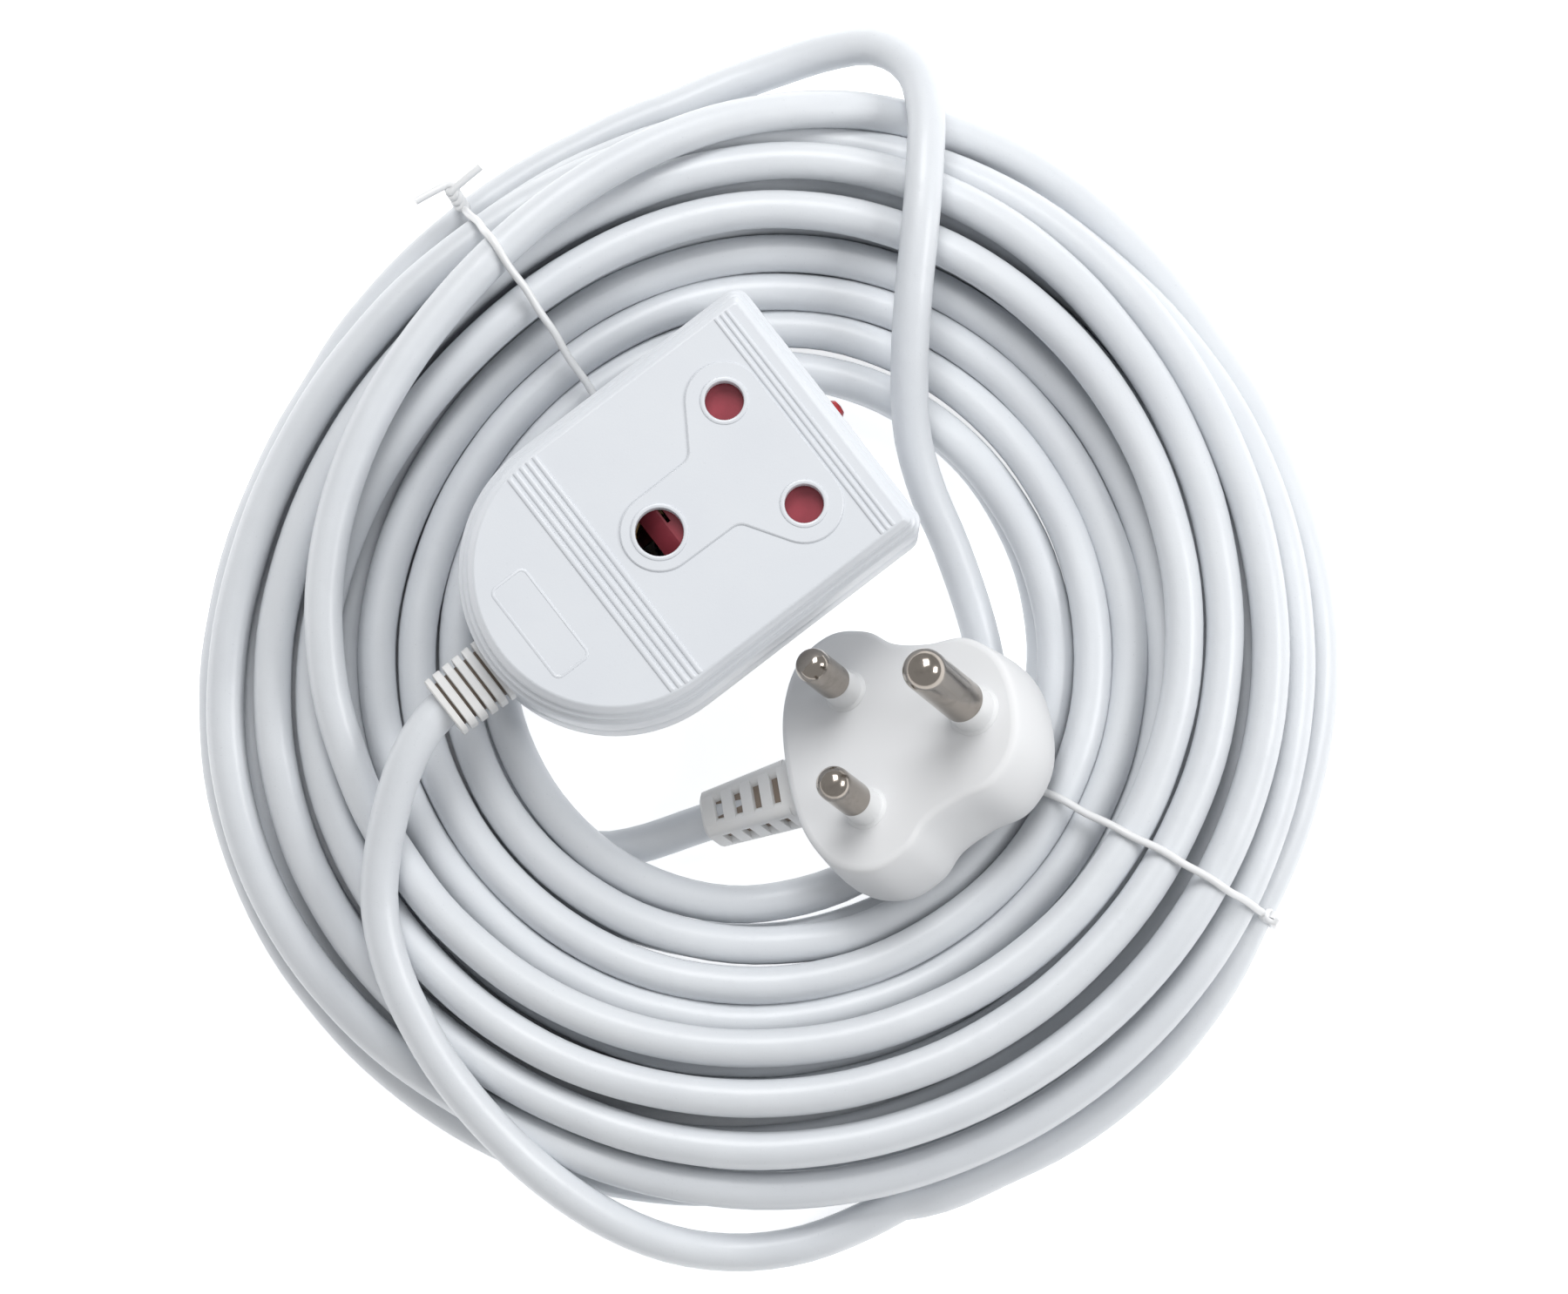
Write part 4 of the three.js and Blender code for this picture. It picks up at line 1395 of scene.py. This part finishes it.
    def build(self) -> bpy.types.Object:
        """Moulds the cover.

        Returns:
            The cover's shell.
        """
        skin = Skin()
        foot, top = self._outside(skin)
        inner, ceiling = self._inside(skin)
        skin.band(inner, foot)
        self._face(skin, top, ceiling)
        self._ridges(skin)
        self._badge(skin)
        shell = skin.build(self.side.value + "_shell", self.side.place(), [Finish.SHELL])
        return settle(shell, Slot.SHELL, self.side.value)


@dataclass
class SlattedRelief:
    """The flat tapered strain relief of the coupler: slats with open gaps between, drawn as grooves whose
    faces are painted dark brown: painted shade, with some dirt.
    """

    start: float = -36.0
    root: float = -42.0
    end: float = -54.0
    wide: float = 13.2
    narrow: float = 12.4
    thick: float = 11.0
    slats: int = 5

    def build(self) -> bpy.types.Object:
        """Moulds the relief.

        Returns:
            The relief.
        """
        skin = Skin()
        pitch = (self.root - self.end) / self.slats
        stations = [(self.start, 0.0, 0), (self.root, 0.0, 0)]
        for i in range(self.slats):
            x = self.root - i * pitch
            for along, deep, gap in (
                    (0.10, 0.0, 0), (0.16, 0.25, 0), (0.17, 1.5, 1), (0.41, 1.5, 1),
                    (0.42, 0.25, 0), (0.50, 0.0, 0), (0.90, 0.0, 0)):
                stations.append((x - along * pitch, deep, gap))
        stations.append((self.end, 0.3, 0))
        rings = [self._section(x, deep) for x, deep, _ in stations]
        made = [skin.loop(ring) for ring in rings]
        # where both stations are gap stations the band takes the second material: painted shade, with some
        # dirt
        for k, (lower, upper) in enumerate(zip(made, made[1:])):
            skin.band(lower, upper, 1 if stations[k][2] and stations[k + 1][2] else 0)
        skin.lid(made[0])
        skin.lid(made[-1])
        relief = skin.build("coupler_relief_slats", coupler_place(), [Finish.RELIEF, Finish.RELIEF_SHADE_AND_DIRT])
        return settle(relief, Slot.RELIEF, "coupler_strain_relief")

    def _section(self, x: float, deep: float) -> list[Point3]:
        """Returns the relief's outline at one place.

        Args:
            x: the place along it.
            deep: how far the outline is cut in.
        """
        share = min(max((self.root - x) / (self.root - self.end), 0), 1)
        width = self.wide + (self.narrow - self.wide) * share - 2 * deep
        box = rounded_box(width, self.thick - 2 * deep, 2.2)
        return [(x, y, z) for y, z in box]


@dataclass
class Coupler:
    """The double-sided trailing socket."""

    def build(self) -> list[bpy.types.Object]:
        """Builds both covers and the strain relief.

        Returns:
            The new pieces; the relief is the last.
        """
        return [Cover(Side.FRONT).build(), Cover(Side.BACK).build(), SlattedRelief().build()]


# ------------------------------------------------------------------ the plug


@dataclass
class PlugBody:
    """The soft moulded plug: three lobes round the pins, flaring to the back."""

    depth: float = 22.0
    outline: list[Point2] = field(default_factory=lambda: [
        (34.4, 0), (32.6, 9.4), (26.5, 15.8), (18.5, 17.2), (11.5, 19.6), (6.5, 23.8),
        (-1, 25.8), (-8.5, 22.6), (-13, 15.6), (-15, 6.5),
    ])
    # depth below the face, growth of the outline
    levels: tuple[Point2, ...] = (
        (0.0, -1.5), (0.04, -1.15), (0.2, -0.65), (0.5, -0.25), (0.95, 0.0), (2.5, 0.2), (6.0, 0.6),
        (9.0, 0.9), (12.0, 1.1), (15.0, 1.1), (17.5, 0.8), (19.5, 0.1), (20.8, -0.9), (21.6, -2.1),
        (22.0, -4.0),
    )

    def ring(self) -> np.ndarray:
        """Returns the smooth face outline."""
        lower = [(x, -y) for x, y in reversed(self.outline[1:])]
        points = [(x, y, 0.0) for x, y in self.outline + lower]
        return catmull(points, 6, closed=True)

    def build(self) -> bpy.types.Object:
        """Moulds the body.

        Returns:
            The body.
        """
        skin = Skin()
        ring = self.ring()
        centre = np.array((8.0, 0.0, 0.0))
        outward = ring - centre
        outward /= np.linalg.norm(outward, axis=1)[:, None]
        rings = []
        for depth, growth in self.levels:
            pinch = self._pinch(ring, depth)
            points = ring + outward * (growth - pinch)[:, None]
            rings.append([(float(x), float(y), -depth) for x, y, _ in points])
        first, last = skin.stack(rings)
        skin.lid(first)
        skin.lid(last)
        body = skin.build("plug_body_moulding", plug_place(), [Finish.PLUG], 50.0)
        return settle(body, Slot.PLUG, "plug_body")

    def _pinch(self, ring: np.ndarray, depth: float) -> np.ndarray:
        """Returns how far the finger grips draw the wall in.

        Args:
            ring: the outline's points.
            depth: the distance below the face.
        """
        across = np.exp(-((ring[:, 0] - 15.0) / 7.0) ** 2) * (np.abs(ring[:, 1]) > 12)
        down = math.exp(-((depth - 9.0) / 6.0) ** 2) - math.exp(-((0.0 - 9.0) / 6.0) ** 2)
        return 1.5 * across * max(down, 0.0)


class Pole(Enum):
    """The plug's pins: x, y, radius, length and the sleeve's length."""

    LIVE = (0.0, 12.7, 3.525, 18.6, 6.0)
    NEUTRAL = (0.0, -12.7, 3.525, 18.6, 6.0)
    EARTH = (25.6, 0.0, 4.35, 28.6, 6.0)

    @property
    def label(self) -> str:
        """The pole's name in the CAD nodes."""
        return self.name.lower()


@dataclass
class PlugPin:
    """One round pin with a domed tip, in a white sleeve."""

    pole: Pole

    def build(self) -> list[bpy.types.Object]:
        """Turns the pin and its sleeve.

        Returns:
            The pin and the sleeve.
        """
        x, y, radius, length, sleeve = self.pole.value
        return [self._pin(x, y, radius, length, sleeve), self._sleeve(x, y, radius, sleeve)]

    def _pin(self, x: float, y: float, r: float, length: float, sleeve: float) -> bpy.types.Object:
        """Turns the metal pin.

        Args:
            x: the pin's x.
            y: the pin's y.
            r: its radius.
            length: its length from the plug's face.
            sleeve: the sleeve's length.

        Returns:
            The pin.
        """
        stem, tip = r - 0.9, length - r * 0.92
        profile = [(0.01, -12.0), (stem, -12.0), (stem, sleeve - 0.3), (r - 0.12, sleeve - 0.25),
                   (r, sleeve - 0.1), (r, tip - 0.6)]
        profile += [(r * math.cos(math.radians(a)) ** 0.8, tip + r * 0.92 * math.sin(math.radians(a)))
                    for a in range(0, 88, 8)]
        profile += [(0.05, length)]
        skin = Skin()
        skin.tube(turned_rings(profile, x, y, 56))
        name = f"plug_{self.pole.label}_pin"
        pin = skin.build(name + "_metal", plug_place(), [Finish.NICKEL])
        return settle(pin, Slot.NICKEL, name)

    def _sleeve(self, x: float, y: float, r: float, sleeve: float) -> bpy.types.Object:
        """Turns the sleeve, with the small collar where it leaves the face.

        Args:
            x: the pin's x.
            y: the pin's y.
            r: the pin's radius.
            sleeve: the sleeve's length.

        Returns:
            The sleeve.
        """
        skin = Skin()
        profile = [(r - 0.85, -3.0), (r + 0.9, -3.0), (r + 0.9, 0.1), (r + 0.62, 0.32), (r + 0.25, 0.5),
                   (r + 0.06, 0.9), (r + 0.03, sleeve - 0.6), (r - 0.1, sleeve - 0.32),
                   (r - 0.3, sleeve - 0.28), (r - 0.85, sleeve - 0.28)]
        skin.tube(turned_rings(profile, x, y, 56))
        name = f"plug_{self.pole.label}_pin_sleeve"
        made = skin.build(name + "_moulding", plug_place(), [Finish.SLEEVE])
        return settle(made, Slot.SLEEVE, name)


@dataclass
class RibbedRelief:
    """The plug's tapered strain relief, ribbed, with small windows between its ribs whose faces are painted
    dark brown: painted shade, with some dirt.
    """

    length: float = 23.0
    inside: float = 6.0
    ribs: int = 4
    wide: float = 12.8
    narrow: float = 9.9
    thick: float = 10.4

    def build(self) -> bpy.types.Object:
        """Moulds the relief.

        Returns:
            The relief.
        """
        skin = Skin()
        stations = [(self.inside, 0.0, 0), (-4.4, 0.0, 0)]
        for i in range(self.ribs):
            x = -5.4 - i * 4.2
            stations += [(x, 0.0, 0), (x - 0.12, 0.25, 0), (x - 0.14, 1.15, 1), (x - 1.7, 1.15, 1),
                         (x - 1.72, 0.25, 0), (x - 1.84, 0.0, 0)]
        stations += [(-self.length + 0.6, 0.0, 0), (-self.length, 0.6, 0)]
        made = [skin.loop(self._section(x, deep)) for x, deep, _ in stations]
        # where both stations are groove stations the band takes the second material: painted shade, with
        # some dirt
        for k, (lower, upper) in enumerate(zip(made, made[1:])):
            skin.band(lower, upper, 1 if stations[k][2] and stations[k + 1][2] else 0)
        skin.lid(made[0])
        skin.lid(made[-1])
        self._spines(skin)
        place = plug_place() @ Matrix.Translation(Vector((-14.0, 0, -11.0)) * MM)
        relief = skin.build("plug_relief_ribs", place, [Finish.RELIEF, Finish.RELIEF_SHADE_AND_DIRT])
        return settle(relief, Slot.RELIEF, "plug_strain_relief")

    def _size(self, x: float) -> Point2:
        """Returns the relief's width and thickness at a place.

        Args:
            x: the place along it.
        """
        share = min(max(-x / self.length, 0.0), 1.0)
        return self.wide + (self.narrow - self.wide) * share, self.thick - 1.2 * share

    def _section(self, x: float, deep: float) -> list[Point3]:
        """Returns the relief's outline at one place.

        Args:
            x: the place along it.
            deep: how far the outline is cut in.
        """
        width, thick = self._size(x)
        box = rounded_box(width - 2 * deep, thick - 2 * deep, 2.4)
        return [(x, y, z) for y, z in box]

    def _spines(self, skin: Skin) -> None:
        """Runs four spines along the corners, which part the gaps into windows.

        Args:
            skin: the mesh.
        """
        for sy, sz in ((1, 1), (1, -1), (-1, 1), (-1, -1)):
            rings = []
            for x in (-4.0, -self.length + 0.8):
                width, thick = self._size(x)
                cy, cz = sy * (width / 2 - 1.75), sz * (thick / 2 - 1.75)
                rings.append([(x, cy + dy, cz + dz) for dy, dz in rounded_box(3.4, 3.4, 1.6)])
            skin.tube(rings)


@dataclass
class Plug:
    """The three-pin plug."""

    def build(self) -> list[bpy.types.Object]:
        """Builds the body, the pins, the sleeves and the strain relief.

        Returns:
            The new pieces.
        """
        pins = [piece for pole in Pole for piece in PlugPin(pole).build()]
        return [PlugBody().build(), *pins, RibbedRelief().build()]


# ------------------------------------------------------------------ carried-over pieces, stage


def dress_cad_nodes() -> None:
    """Gives every CAD piece that still shows its finish."""
    slots = {s.label: s for s in Slot}
    for part in frame["record"]["subparts"]:
        node = frame["nodes"][part["node"]]
        if node.hide_render:
            continue
        node.data.materials.clear()
        node.data.materials.append(slots[part["material_slot"]].finish.material())
        LOG.info("%s keeps its CAD shape", node.name)


@dataclass
class Studio:
    """The pale floor, the soft lights and the camera."""

    look_at: Point3 = (4.0, 82.0, 8.0)
    distance: float = 1342.0
    elevation: float = 84.0
    lens: float = 154.1

    def camera(self) -> None:
        """Places the camera."""
        data = bpy.data.cameras.new("camera")
        data.lens, data.sensor_width = self.lens, 36.0
        data.clip_start, data.clip_end = 0.05, 50.0
        camera = bpy.data.objects.new("camera", data)
        bpy.context.scene.collection.objects.link(camera)
        rise = math.radians(self.elevation)
        back = Vector((0, -math.cos(rise), math.sin(rise)))
        camera.location = Vector(self.look_at) * MM + back * self.distance * MM
        camera.rotation_euler = (math.pi / 2 - rise, 0, 0)
        bpy.context.scene.camera = camera

    def floor(self) -> None:
        """Lays the floor."""
        work = bmesh.new()
        bmesh.ops.create_grid(work, x_segments=8, y_segments=8, size=6.0)
        mesh = bpy.data.meshes.new("floor")
        work.to_mesh(mesh)
        work.free()
        mesh.materials.append(Finish.FLOOR.material())
        floor = bpy.data.objects.new("floor", mesh)
        floor.location = (0, 0, -0.0002)
        bpy.context.scene.collection.objects.link(floor)

    def lights(self) -> None:
        """Hangs two soft boxes and lights the surroundings."""
        self._soft_box("top", (-0.15, 1.1, 1.35), 0.8, 16.0)
        self._soft_box("key", (1.0, 0.1, 0.8), 0.5, 6.8)
        world = bpy.data.worlds.new("studio")
        world.use_nodes = True
        world.node_tree.nodes["Background"].inputs["Color"].default_value = (1.0, 1.0, 1.0, 1.0)
        world.node_tree.nodes["Background"].inputs["Strength"].default_value = 0.48
        bpy.context.scene.world = world
        bpy.context.scene.view_settings.view_transform = "Standard"

    @staticmethod
    def _soft_box(name: str, at: Point3, size: float, power: float) -> None:
        """Hangs one square light that faces the coil.

        Args:
            name: the light's name.
            at: where it hangs, in metres.
            size: its side, in metres.
            power: its power, in watts.
        """
        data = bpy.data.lights.new(name, "AREA")
        data.shape, data.size, data.energy = "SQUARE", size, power
        lamp = bpy.data.objects.new(name, data)
        bpy.context.scene.collection.objects.link(lamp)
        lamp.location = at
        aim = Vector((0, 0.082, 0.02)) - Vector(at)
        lamp.rotation_euler = aim.to_track_quat("-Z", "Y").to_euler()


def main() -> None:
    """Builds the lead and its stage."""
    logging.basicConfig(level=logging.INFO, format="%(message)s")
    studio = Studio()
    studio.camera()
    lay = CordLay()
    flex = Cord()
    cord = flex.build(lay)
    ties = WireTies().build(lay)
    coupler = Coupler().build()
    plug = Plug().build()
    dress_cad_nodes()
    studio.floor()
    studio.lights()


if __name__ == "__main__":
    main()
